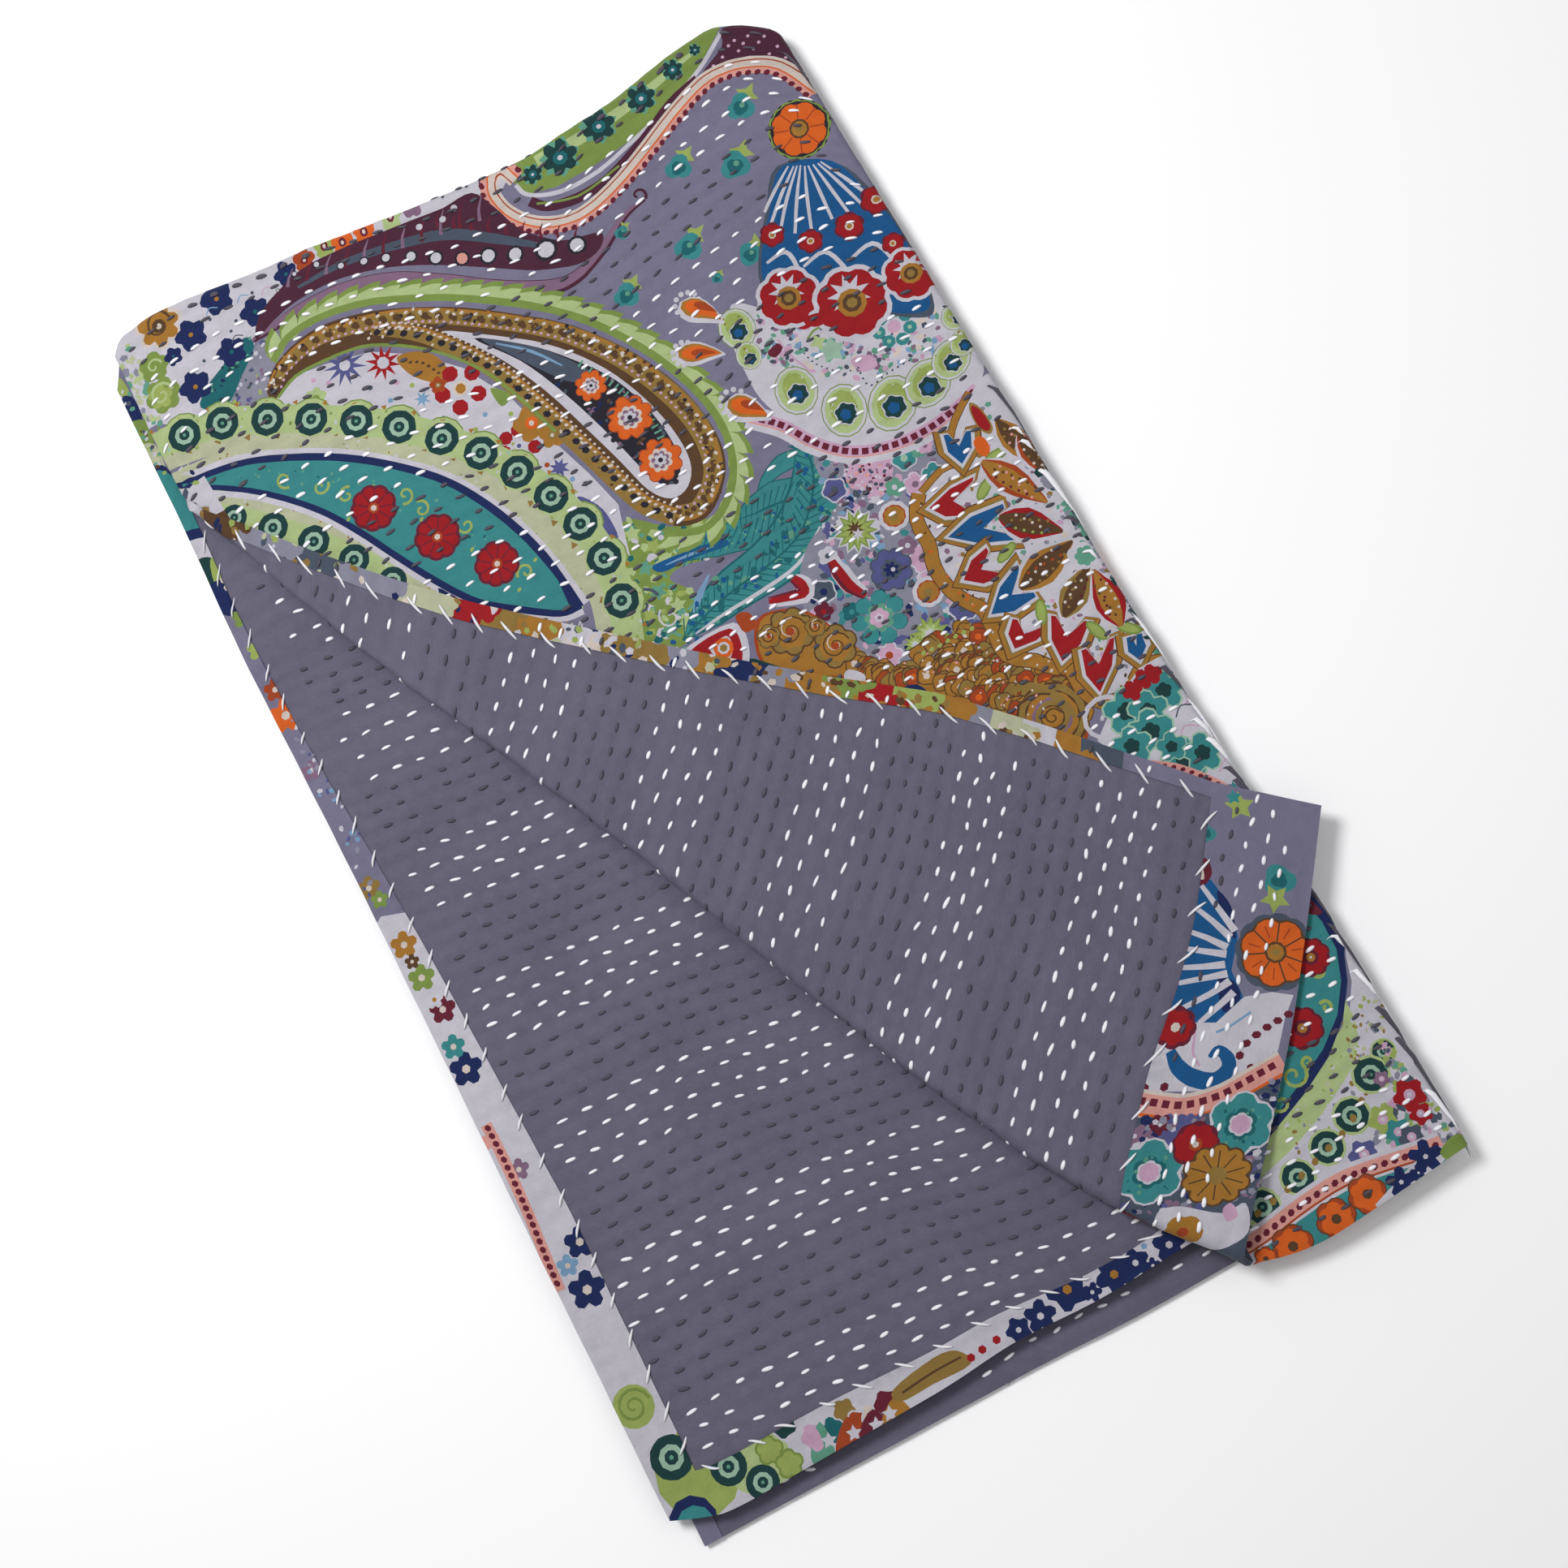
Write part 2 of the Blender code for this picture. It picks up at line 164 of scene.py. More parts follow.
def foldFlat(x, y, depth):  # the flat quilt folded three ways, depth counted under the print
    turn = math.pi * np.clip((x - rightStart) / rightFlat, 0, 1)
    depth = depth - ridges(y) * np.cos(turn)
    radius = rightRadius - depth
    px = np.where(x < rightEnd, np.minimum(x, rightStart), rightStart - (x - rightEnd))
    px = px + radius * np.sin(turn)
    pz = rightAxis + radius * np.cos(turn)
    offset = np.stack([x, y], axis=1) - flap["start"]
    along, out = offset @ flapAlong, offset @ flapOut
    inner = flapRadius(along)
    start, middle = -(inner + sheetDepth), inner + sheetDepth / 2
    past = out - start
    turned = (x < rightStart) & (y < farStart) & (past > 0)
    turn = np.clip(past / middle, 0, math.pi)
    radius = inner + depth
    over = np.maximum(past - math.pi * middle, 0)
    placed = start + radius * np.sin(turn) - over
    height = packTop + inner - radius * np.cos(turn)
    height = height - (2 * inner - flap["gap"]) * ease(over / flap["settle"])
    flat = flap["start"] + along[:, None] * flapAlong + placed[:, None] * flapOut
    px = np.where(turned, flat[:, 0], px)
    py = np.where(turned, flat[:, 1], y)
    pz = np.where(turned, height, pz)
    past = y - farStart
    turn = math.pi * np.clip(past / pack["farFoldFlat"], 0, 1)
    radius = pz - farAxis
    share = np.clip((x - rightStart) / rightFlat, 0, 1)
    scale = 1 + ((farStart - pack["nearThird"]) / lowerLength - 1) * share
    lower = farStart - (past - pack["farFoldFlat"]) * scale
    py = np.where(past > 0, np.where(turn < math.pi, farStart, lower), py)
    py = py + np.where(past > 0, radius * np.sin(turn), 0)
    pz = np.where(past > 0, farAxis + radius * np.cos(turn), pz)
    return np.stack([px, py, pz], axis=1)


def planShift(points):  # how far the folded pack's own unevenness moves each place
    x, y = points.T
    offset = points - flap["start"]
    along, out = offset @ flapAlong, offset @ flapOut
    bow = readEdge("flapBow", along, 0.02) * (1 - ease(np.abs(out) / flap["bowReach"]))
    mx, my = x + bow * flapOut[0], y + bow * flapOut[1]
    mx = mx + readEdge("rightShift", my, 0.04) * ease(1 - (pack["right"] - mx) / 0.20)
    my = my + readEdge("farShift", mx, 0.006) * ease(1 - (pack["far"] - my) / 0.30)
    return np.stack([mx, my], axis=1) - points


def place(x, y, depth):
    points = foldFlat(*(np.broadcast_to(np.asarray(v, float), np.shape(x)) for v in (x, y, depth)))
    moved = points[:, :2] + planShift(points[:, :2])
    swell = sum(
        height / 1000 * np.sin(2 * math.pi * (moved[:, 0] / across + moved[:, 1] / along) * 1000 + phase)
        for across, along, phase, height in swells
    )
    z = points[:, 2] * (1 + swell / packTop)
    return np.column_stack([moved - np.array(pack["centre"]), z])


def topFlat(points):  # millimetres on the finished top to places on the flat quilt
    target = np.array(points, float) / 1000
    found = target.copy()
    for step in range(8):
        found = target - planShift(found)
    return found


def flapOver(x, y):  # how far a place lies past the slanting fold's start, along the cloth
    offset = np.stack([x, y], axis=1) - flap["start"]
    along, out = offset @ flapAlong, offset @ flapOut
    inner = flapRadius(along)
    return out + inner + sheetDepth, inner


# Rows of running stitch are sewn in bands of four white rows and four dark ones. Each pair
# is a place up the quilt in millimetres and the number of the row that runs through it
rows = dict(
    whiteRows=4, period=8, pitch=0.0121, tilt=0.075, secondTilt=(-0.035, -0.055),
    top=(
        (-433, -32), (-399, -29), (-346, -24), (-311, -21), (-258, -16), (-227, -13), (-174, -8),
        (-136, -5), (-78, 0), (-38, 3), (23, 8), (64, 11), (131, 16), (174, 19), (235, 24),
        (275, 27), (338, 32), (378, 35), (441, 40),
    ),
    second=(
        (-387, -24), (-352, -21), (-293, -16), (-257, -13), (-201, -8), (-165, -5), (-107, 0),
        (-71, 3), (-13, 8), (25, 11), (82, 16), (127, 19), (176, 24), (212, 27), (270, 32), (460, 48),
    ),
)


def rowOf(name, y):
    places, numbers = np.array(rows[name], float).T
    beyond = np.minimum(y - places[0] / 1000, 0) + np.maximum(y - places[-1] / 1000, 0)
    return np.interp(y, places / 1000, numbers) + beyond / rows["pitch"]


def rowAt(x, y):
    wander = 0.0008 * np.sin(x / 0.047 + y / 0.19) + 0.0007 * np.sin(x / 0.021 + y / 0.09 + 2)
    sag = 0.0042 * ease((y - 0.10) / 0.10) * np.cos(x / 0.046 - 0.6)
    lean = rows["tilt"] * ease((0.13 - y) / 0.11) * np.clip(x + 0.16, -0.1, 0.28)
    top = rowOf("top", y - lean + sag + wander)
    across = rightStart + rightEnd - x + 0.165
    slope = rows["secondTilt"][0] + rows["secondTilt"][1] * ease((y + 0.25) / 0.35)
    second = rowOf("second", y - slope * across + wander)
    turned = ease((x - rightStart) / rightFlat)
    return top * (1 - turned) + second * turned


def pucker(x, y):  # cloth stands up between the rows and is gathered across them
    row = rowAt(x, y)
    between = 0.5 - 0.5 * np.cos(2 * math.pi * row)
    patch = 0.75 + 0.25 * np.sin(x / 0.031 + 1.3 * row) * np.sin(x / 0.083 - 0.7 * row + 1)
    gather = np.sin(2 * math.pi * x / 0.0171 + 2.4 * np.floor(row) + 0.8 * np.sin(x / 0.05))
    crease = np.sin(x / 0.016 + 0.45 * row + 2 * np.sin(y / 0.07)) * np.sin(y / 0.053 + x / 0.11)
    return 0.00042 * between * patch + 0.00016 * gather * between + 0.00016 * (1 + crease)


def whereShown(x, y):  # 1 where the print shows, and where the grey shows
    past, inner = flapOver(x, y)
    inTop = (x < rightEnd) & (y < farEnd + 0.01)
    printShows = inTop * (1 - ease((past - 0.004) / 0.010))
    flapShows = (x < rightStart) * (y < farStart) * ease((past - 0.002) / 0.008)
    px = rightStart + rightEnd - x
    offset = np.stack([px, y], axis=1) - flap["start"]
    openPart = ease((offset @ flapOut + 0.035) / 0.012)
    secondShows = (x > rightEnd) * (y < farStart) * openPart
    return printShows * 1.0, np.maximum(flapShows, secondShows)


def linePoints(x0, y0, x1, y1, fine, coarse):  # finer on the two upper layers
    runs = []
    if x0 == x1:
        split = farEnd + 0.012
        runs = [(y0, split, fine), (split, y1, coarse)]
        ys = np.concatenate([np.linspace(a, b, max(2, int((b - a) / s)) + 1)[:-1] for a, b, s in runs] + [[y1]])
        xs = np.full(len(ys), x0)
    else:
        step = fine if y0 < farEnd + 0.012 else coarse
        xs = np.linspace(x0, x1, max(2, int(abs(x1 - x0) / step)) + 1)
        ys = np.full(len(xs), y0)
    return cutPattern(np.stack([xs, ys], axis=1))


def loopPoints(inX, inY, fine, coarse):  # a closed line at this distance inside the cut edge
    left, right = pack["leftTop"] + inX, secondEdge - inX
    near, far = pack["near"] + inY, patternEnd
    sides = (
        linePoints(left, near, right, near, fine, coarse),
        linePoints(right, near, right, far, fine, coarse),
        linePoints(left, far, right, far, fine, coarse)[::-1],
        linePoints(left, near, left, far, fine, coarse)[::-1],
    )
    return np.concatenate([side[:-1] for side in sides])


def foldLines(fine, coarse):
    lines = []
    for turn in np.linspace(0, 1, 9):
        x = rightStart + rightFlat * turn
        lines.append(linePoints(x, pack["near"], x, patternEnd, fine, coarse))
    for turn in np.linspace(0, 1, 11):
        y = farStart + pack["farFoldFlat"] * turn
        lines.append(linePoints(pack["leftTop"], y, secondEdge, y, fine, coarse))
    for turn in np.linspace(0, math.pi, 9):
        ends = []
        for along in (0, flapLength):
            inner = float(flapRadius(along))
            out = turn * (inner + sheetDepth / 2) - (inner + sheetDepth)
            ends.append(flap["start"] + along * flapAlong + out * flapOut)
        share = np.linspace(-0.02, 1.03, int(flapLength / fine))[:, None]
        lines.append(ends[0] + (ends[1] - ends[0]) * share)
    return lines


def scatter(spacing, wanted):  # an even lattice of points, kept where wanted says so
    ys = np.arange(pack["near"] + 0.004, patternEnd - 0.003, spacing * 0.866)
    xs = np.arange(pack["leftTop"] + 0.004, secondEdge - 0.004, spacing)
    x = (xs[None, :] + spacing * 0.5 * (np.arange(len(ys)) % 2)[:, None]).ravel()
    y = np.repeat(ys, len(xs))
    points = cutPattern(np.stack([np.minimum(x, secondEdge - 0.003), y], axis=1))
    return points[wanted(points[:, 0], points[:, 1])]


def insideOf(shape, spots):  # even-odd test of many places against one outline
    x, y = spots.T
    hit = np.zeros(len(x), bool)
    for (x0, y0), (x1, y1) in zip(shape, np.roll(shape, -1, axis=0)):
        if y0 != y1:
            hit ^= ((y0 > y) != (y1 > y)) & (x < (x1 - x0) * (y - y0) / (y1 - y0) + x0)
    return hit


def inkAt(spots, shapes):  # the last shape over each place, or -1
    found = np.full(len(spots), -1)
    order = np.argsort(spots[:, 0])
    xs = spots[order, 0]
    for index, shape in enumerate(shapes):
        low, high = shape.min(axis=0), shape.max(axis=0)
        near = order[np.searchsorted(xs, low[0]) : np.searchsorted(xs, high[0])]
        near = near[(spots[near, 1] > low[1]) & (spots[near, 1] < high[1])]
        found[near[insideOf(shape, spots[near])]] = index
    return found


def borders(points, triangles, colours):  # the edges where two colours meet, near-straight runs joined
    ends = np.sort(np.concatenate([triangles[:, [0, 1]], triangles[:, [1, 2]], triangles[:, [2, 0]]]), axis=1)
    owner = np.tile(np.arange(len(triangles)), 3)
    key = ends @ np.array([len(points), 1])
    order = np.argsort(key, kind="stable")
    same = key[order][1:] == key[order][:-1]
    first, second = order[:-1][same], order[1:][same]
    nextTo = {}
    for a, b in ends[first[colours[owner[first]] != colours[owner[second]]]].tolist():
        nextTo.setdefault(a, []).append(b)
        nextTo.setdefault(b, []).append(a)
    places = points.tolist()
    for spot in list(nextTo):
        if len(nextTo[spot]) != 2 or nextTo[spot][0] in nextTo[nextTo[spot][1]]:
            continue
        a, b = nextTo[spot]
        (px, py), (ax, ay), (bx, by) = places[spot], places[a], places[b]
        span = math.hypot(bx - ax, by - ay)
        if span < 0.014 and abs((bx - ax) * (py - ay) - (by - ay) * (px - ax)) < 0.00012 * span:
            nextTo[a][nextTo[a].index(spot)] = b
            nextTo[b][nextTo[b].index(spot)] = a
            del nextTo[spot]
    used = {spot: k for k, spot in enumerate(nextTo)}
    links = [(used[a], used[b]) for a in nextTo for b in nextTo[a] if a < b]
    return points[list(used)], links


def triangulate(lines, points, shapes, fine, coarse, colours=None):
    # Four nested loops come first: the cut edge, the wall, the wall's inside and the hem
    insets = ((0, 0), (hemLines["wall"],) * 2, (hemLines["inset"],) * 2, (hemLines["side"], hemLines["near"]))
    loops = [loopPoints(*inset, fine, coarse) for inset in insets]

    def meshed(outlines, spots, links):
        coords, links = spots.tolist(), list(links)
        for line, closing in outlines:
            first = len(coords)
            links.extend((i, i + 1) for i in range(first, first + len(line) - 1))
            if closing:
                links.append((first + len(line) - 1, first))
            coords.extend(line.tolist())
        made = delaunay_2d_cdt([Vector(c) for c in coords], links, [], 0, 1e-5, False)
        flatPoints = np.array([tuple(v) for v in made[0]])
        triangles = np.array([f for f in made[2] if len(f) == 3])
        centres = flatPoints[triangles].mean(axis=1)
        inside = insideOf(loops[0], centres)
        return flatPoints, triangles[inside], centres[inside]

    borderSpots, links = np.zeros((0, 2)), []
    if shapes:  # only outlines that can be seen go on to the cloth's own mesh
        flatPoints, triangles, centres = meshed([(shape, True) for shape in (loops[0], *shapes)], borderSpots, [])
        found = inkAt(centres, shapes)
        borderSpots, links = borders(flatPoints, triangles, np.append(colours, -1)[found])
        cells = {tuple(cell) for cell in np.floor(borderSpots / 0.0036).astype(int).tolist()}
        points = points[[tuple(cell) not in cells for cell in np.floor(points / 0.0036).astype(int).tolist()]]
    outlines = [(loop, True) for loop in loops] + [(line, False) for line in lines]
    flatPoints, triangles, centres = meshed(outlines, np.concatenate([borderSpots, points]), links)
    zones = 3 - sum(insideOf(loop, centres).astype(int) for loop in loops[1:])
    return flatPoints, triangles, zones, inkAt(centres, shapes)


def coarser(points, triangles, lines, cell):  # the same region with fewer points inside it
    # Its rim keeps every point, so the sparse side still closes with the fine one
    ends = np.concatenate([triangles[:, [0, 1]], triangles[:, [1, 2]], triangles[:, [2, 0]]])
    rim, where, times = np.unique(np.sort(ends, axis=1), axis=0, return_index=True, return_counts=True)
    rim, inward = rim[times == 1], {(a, b) for a, b in ends[where[times == 1]].tolist()}
    inside = np.setdiff1d(np.unique(triangles), rim)
    onLines = {tuple(p) for p in np.round(np.concatenate(lines), 5).tolist()}
    folds = np.array([tuple(p) in onLines for p in np.round(points[inside], 5).tolist()])
    boxes = np.floor(points[inside] / cell).astype(int) @ np.array([100000, 1])
    first = np.unique(boxes, return_index=True)[1]
    chosen = np.unique(np.concatenate([rim.ravel(), inside[folds], inside[first]]))
    number = {index: k for k, index in enumerate(chosen.tolist())}
    links = [(number[a], number[b]) for a, b in rim.tolist()]
    made = delaunay_2d_cdt([Vector(points[i]) for i in chosen], links, [], 1, 1e-7, True)
    back = np.array([chosen[origin[0]] if origin else -1 for origin in made[3]])
    found = back[np.array([f for f in made[2] if len(f) == 3])]
    found = found[~(found < 0).any(axis=1)]
    owner = {pair: k for k, (a, b, c) in enumerate(found.tolist()) for pair in ((a, b), (b, c), (c, a))}
    waiting = [owner[pair] for pair in inward if pair in owner]
    kept = set(waiting)
    while waiting:  # spread from the rim over everything on its inner side
        a, b, c = found[waiting.pop()].tolist()
        for pair in ((a, b), (b, c), (c, a)):
            other = None if pair in inward else owner.get(pair[::-1])
            if other is not None and other not in kept:
                kept.add(other)
                waiting.append(other)
    return found[sorted(kept)]


def closedShell(points, triangles, levels, filled, sparse=()):
    # Each level is a depth under the print, and filled says which triangles are solid
    # between that level and the next. Sparse gives some levels fewer triangles over the
    # region where their mask holds
    count, corners, levelOf, source = len(points), [], [], []
    facing = faceUp(points, triangles)
    ends = np.concatenate([facing[:, [0, 1]], facing[:, [1, 2]], facing[:, [2, 0]]])
    owner = np.tile(np.arange(len(facing)), 3)
    key = np.sort(ends, axis=1) @ np.array([count, 1])
    order = np.argsort(key, kind="stable")
    same = key[order][1:] == key[order][:-1]
    partner = np.full(len(key), -1)
    first, second = order[:-1][same], order[1:][same]
    partner[first], partner[second] = owner[second], owner[first]
    last = len(filled) - 1
    for k in range(len(levels)):
        above = filled[k - 1] if k > 0 else np.zeros(len(facing), bool)
        below = filled[k] if k <= last else np.zeros(len(facing), bool)
        for mask, turned in ((below & ~above, False), (above & ~below, True)):
            for level, region, thin in sparse:
                if level == k and (mask & region).any():
                    thin = faceUp(points, thin)[:, ::-1] if turned else faceUp(points, thin)
                    corners.append(thin)
                    levelOf.append(np.full(thin.shape, k))
                    source.append(np.full(len(thin), -1))
                    mask = mask & ~region
            chosen = facing[mask][:, ::-1] if turned else facing[mask]
            corners.append(chosen)
            levelOf.append(np.full(chosen.shape, k))
            source.append(np.flatnonzero(mask))
    for k in range(len(filled)):
        solid = np.append(filled[k], False)
        wall = solid[owner] & ~solid[partner]
        a, b = ends[wall].T
        for trio, depth in (((b, a, a), (0, 0, 1)), ((b, a, b), (0, 1, 1))):
            corners.append(np.stack(trio, axis=1))
            levelOf.append(np.tile(np.array(depth) + k, (len(a), 1)))
            source.append(owner[wall])
    corners, levelOf, source = map(np.concatenate, (corners, levelOf, source))
    used, inverse = np.unique(levelOf * count + corners, return_inverse=True)
    return used % count, used // count, inverse.reshape(-1, 3), source


def faceUp(points, triangles):
    a, b = (points[triangles[:, k]] - points[triangles[:, 0]] for k in (1, 2))
    up = a[:, 0] * b[:, 1] - a[:, 1] * b[:, 0] > 0
    return np.where(up[:, None], triangles, triangles[:, ::-1])


def newPiece(name, verts, faces):
    mesh = bpy.data.meshes.new(name)
    mesh.from_pydata(verts.tolist(), [], faces.tolist())
    mesh.update()
    piece = bpy.data.objects.new(name, mesh)
    bpy.context.scene.collection.objects.link(piece)
    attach(piece, "root")
    return piece


def smoothByAngle(piece, degrees):
    bpy.ops.object.select_all(action="DESELECT")
    piece.select_set(True)
    bpy.context.view_layer.objects.active = piece
    bpy.ops.object.shade_smooth_by_angle(angle=math.radians(degrees))
    piece.select_set(False)


def setMap(piece, name, uv):  # one place on the flat cloth for each corner
    layer = piece.data.uv_layers.new(name=name)
    layer.data.foreach_set("uv", np.asarray(uv, np.float32).ravel())


# The print is cut out of the cloth as flat shapes, each with one ink, the last on top.
# Their places are in millimetres on the finished pack, the inks in sRGB
inkTable = dict(
    ground="6d6a81", white="b6b3bd", cream="bfb3ab", pink="c68c83", petalPink="b692ab",
    teal="317a7c", deepTeal="14595f", seaGreen="568d78", mint="8dab97", lime="8b9b52",
    paleLime="9dae79", leaf="6f843f", gold="826833", ochre="966827", brown="503721",
    orange="c55719", rust="953c19", red="8e1018", wine="5c182a", maroon="441d30",
    navy="12204e", blue="0e4c7e", sky="6e8fad", violet="4c4f7e", mauve="765b72",
    slate="424b5a", dark="201d27", bottle="123536", grey="7c7c8c", straw="a7aa8d",
)
shapes = []


def toFlatTop(points):
    return topFlat(points)


def toFlatSecond(points):  # the second layer lies face down, so its plan is mirrored
    flat = points / 1000
    for step in range(8):
        flat = points / 1000 - planShift(flat)
    return np.column_stack([rightStart + rightEnd - flat[:, 0], flat[:, 1]])


def toFlatHem(points):  # already on the flat cloth
    return points / 1000


sheetOf = dict(top=toFlatTop, second=toFlatSecond, hem=toFlatHem)
drawing = dict(on="top")


def mmPairs(*numbers):  # x, y, x, y ... to pairs
    return list(zip(numbers[::2], numbers[1::2]))


def fill(ink, points):
    shapes.append((np.array(points, float), ink, drawing["on"]))


def curveThrough(points, steps=4, closed=False):  # a smooth line through a few places
    p = np.array(points, float)
    p = np.concatenate([p[-1:], p, p[:2]]) if closed else np.concatenate([p[:1], p, p[-1:]])
    t = np.linspace(0, 1, steps, endpoint=False)[:, None]
    runs = []
    for a, b, c, d in zip(p[:-3], p[1:-2], p[2:-1], p[3:]):
        runs.append(0.5 * (2 * b + (c - a) * t + (2 * a - 5 * b + 4 * c - d) * t**2 + (3 * b - a - 3 * c + d) * t**3))
    return np.concatenate(runs if closed else [*runs, p[-2:-1]])


def blob(ink, points, steps=4):
    fill(ink, curveThrough(points, steps, closed=True))


def sidesOf(line, left, right):  # the line moved to both sides by these widths
    step = np.gradient(line, axis=0)
    normal = np.stack([-step[:, 1], step[:, 0]], axis=1) / np.maximum(np.linalg.norm(step, axis=1), 1e-9)[:, None]
    places = np.linspace(0, 1, len(line))
    left, right = (np.interp(places, np.linspace(0, 1, np.size(w)), np.atleast_1d(w)) for w in (left, right))
    return line + normal * left[:, None], line - normal * right[:, None]


def ribbon(ink, points, width, steps=4, shift=0):  # width may be a list along the line
    half = np.atleast_1d(width) / 2.0
    one, other = sidesOf(curveThrough(points, steps), half + shift, half - shift)
    fill(ink, np.concatenate([one, other[::-1]]))


def disc(ink, x, y, r, sides=12, squash=1.0, angle=0.0):
    a = np.linspace(0, 2 * math.pi, sides, endpoint=False)
    c, s = math.cos(angle), math.sin(angle)
    u, v = r * np.cos(a), r * squash * np.sin(a)
    fill(ink, np.stack([x + c * u - s * v, y + s * u + c * v], axis=1))


def petals(ink, x, y, r, count, depth=0.3, turn=0.0, sides=4):  # a flower's outline
    a = np.linspace(0, 2 * math.pi, count * sides, endpoint=False)
    reach = r * (1 - depth + depth * np.abs(np.cos(count * (a - turn) / 2)) ** 0.7)
    fill(ink, np.stack([x + reach * np.cos(a), y + reach * np.sin(a)], axis=1))


def star(ink, x, y, r, count, inner=0.45, turn=0.0):
    a = turn + np.arange(2 * count) * math.pi / count
    reach = np.where(np.arange(2 * count) % 2, r * inner, r)
    fill(ink, np.stack([x + reach * np.cos(a), y + reach * np.sin(a)], axis=1))


def ringDot(x, y, r=8.0, ring="bottle", centre="seaGreen"):
    petals(ring, x, y, r * 1.03, 9, 0.05, r, 2)
    disc("mint", x, y, r * 0.60, 9)
    disc(ring, x, y, r * 0.34, 8)
    disc(centre, x, y, r * 0.12, 5)


def flower(x, y, r, ink, count=5, edge=None, centre="gold", eye="cream", turn=0.0, depth=0.28):
    if edge:
        petals(edge, x, y, r * 1.16, count, depth * 0.9, turn)
    petals(ink, x, y, r, count, depth, turn)
    disc(centre, x, y, r * 0.34, 8)
    disc(eye, x, y, r * 0.15, 6)


def dotFlower(x, y, r, ink, centre, count=6, turn=0.0):
    for k in range(count):
        a = turn + 2 * math.pi * k / count
        disc(ink, x + r * 0.68 * math.cos(a), y + r * 0.68 * math.sin(a), r * 0.30, 8)
    disc(centre, x, y, r * 0.30, 8)


def beads(ink, points, size, gap, shift=0.0, sides=6, squash=0.8):  # a row along a line
    line = curveThrough(points, 8)
    line = sidesOf(line, shift, -shift)[0] if shift else line
    run = np.concatenate([[0], np.cumsum(np.linalg.norm(np.diff(line, axis=0), axis=1))])
    for at in np.arange(gap / 2, run[-1], gap):
        x, y = (np.interp(at, run, line[:, i]) for i in (0, 1))
        ahead = [np.interp(at + 1, run, line[:, i]) for i in (0, 1)]
        disc(ink, x, y, size, sides, squash, math.atan2(ahead[1] - y, ahead[0] - x) + math.pi / sides)


def ticks(ink, points, length, width, gap, shift=0.0, lean=0.0):  # short strokes across
    line = curveThrough(points, 8)
    line = sidesOf(line, shift, -shift)[0] if shift else line
    run = np.concatenate([[0], np.cumsum(np.linalg.norm(np.diff(line, axis=0), axis=1))])
    for at in np.arange(gap / 2, run[-1] - 1, gap):
        x, y = (np.interp(at, run, line[:, i]) for i in (0, 1))
        along = np.array([np.interp(at + 1, run, line[:, i]) for i in (0, 1)]) - (x, y)
        along /= max(np.linalg.norm(along), 1e-9)
        across = np.array((-along[1], along[0])) + lean * along
        centre = np.array((x, y))
        fill(ink, [
            centre - across * length / 2 - along * width / 2, centre + across * length / 2 - along * width / 3,
            centre + across * length / 2 + along * width / 3, centre - across * length / 2 + along * width / 2,
        ])


def sawTooth(ink, points, depth, gap, side=1, lean=0.6):  # pointed leaves on one side of a line
    line = curveThrough(points, 8)
    run = np.concatenate([[0], np.cumsum(np.linalg.norm(np.diff(line, axis=0), axis=1))])
    for at in np.arange(gap * 0.1, run[-1] - gap * 0.5, gap):
        a, b = (np.array([np.interp(at + d, run, line[:, i]) for i in (0, 1)]) for d in (0, gap * 1.15))
        along = (b - a) / max(np.linalg.norm(b - a), 1e-9)
        out = np.array((-along[1], along[0])) * side
        tip = a + along * gap * (0.5 + lean) + out * depth
        fill(ink, curveThrough([a - out, a + along * gap * 0.25 + out * depth * 0.75, tip,
            b - along * gap * 0.1 + out * depth * 0.35, b - out], 2, True))


def swirl(ink, x, y, r, turns, width, start=0.0, way=1):
    t = np.linspace(0, 1, int(14 * turns))
    a = start + way * t * turns * 2 * math.pi
    reach = r * (1 - 0.88 * t)
    ribbon(ink, np.stack([x + reach * np.cos(a), y + reach * np.sin(a)], axis=1), [width, width * 0.7], 1)


def drop(ink, x, y, length, width, angle, bend=0.25):  # round end at x, y with a curling tail
    t = np.linspace(0, 1, 7)
    c, s = math.cos(angle), math.sin(angle)
    u, v = length * t, bend * length * t**2
    line = np.stack([x + c * u - s * v, y + s * u + c * v], axis=1)
    w = width * np.array([0.35, 0.88, 1.0, 0.9, 0.66, 0.38, 0.06])
    one, other = sidesOf(line, w / 2, w / 2)
    fill(ink, np.concatenate([one, other[::-1]]))


def sprinkle(inks, outline, count, size):  # small marks strewn over an area
    area = curveThrough(outline, 3, True)
    low, high = area.min(axis=0), area.max(axis=0)
    spots = low + (high - low) * dice.random((count * 3, 2))
    for k, (x, y) in enumerate(spots[insideOf(area, spots)][:count]):
        disc(inks[k % len(inks)], x, y, size * dice.uniform(0.6, 1.2), 5, dice.uniform(0.5, 0.9), dice.uniform(0, 3))


def strew(inks, points, spread, count, size):  # small marks strewn along a line
    line = curveThrough(points, 6)
    for k in range(count):
        x, y = line[dice.integers(len(line))] + dice.uniform(-1, 1, 2) * spread
        disc(inks[k % len(inks)], x, y, size * dice.uniform(0.6, 1.2), 5, dice.uniform(0.5, 0.9), dice.uniform(0, 3))


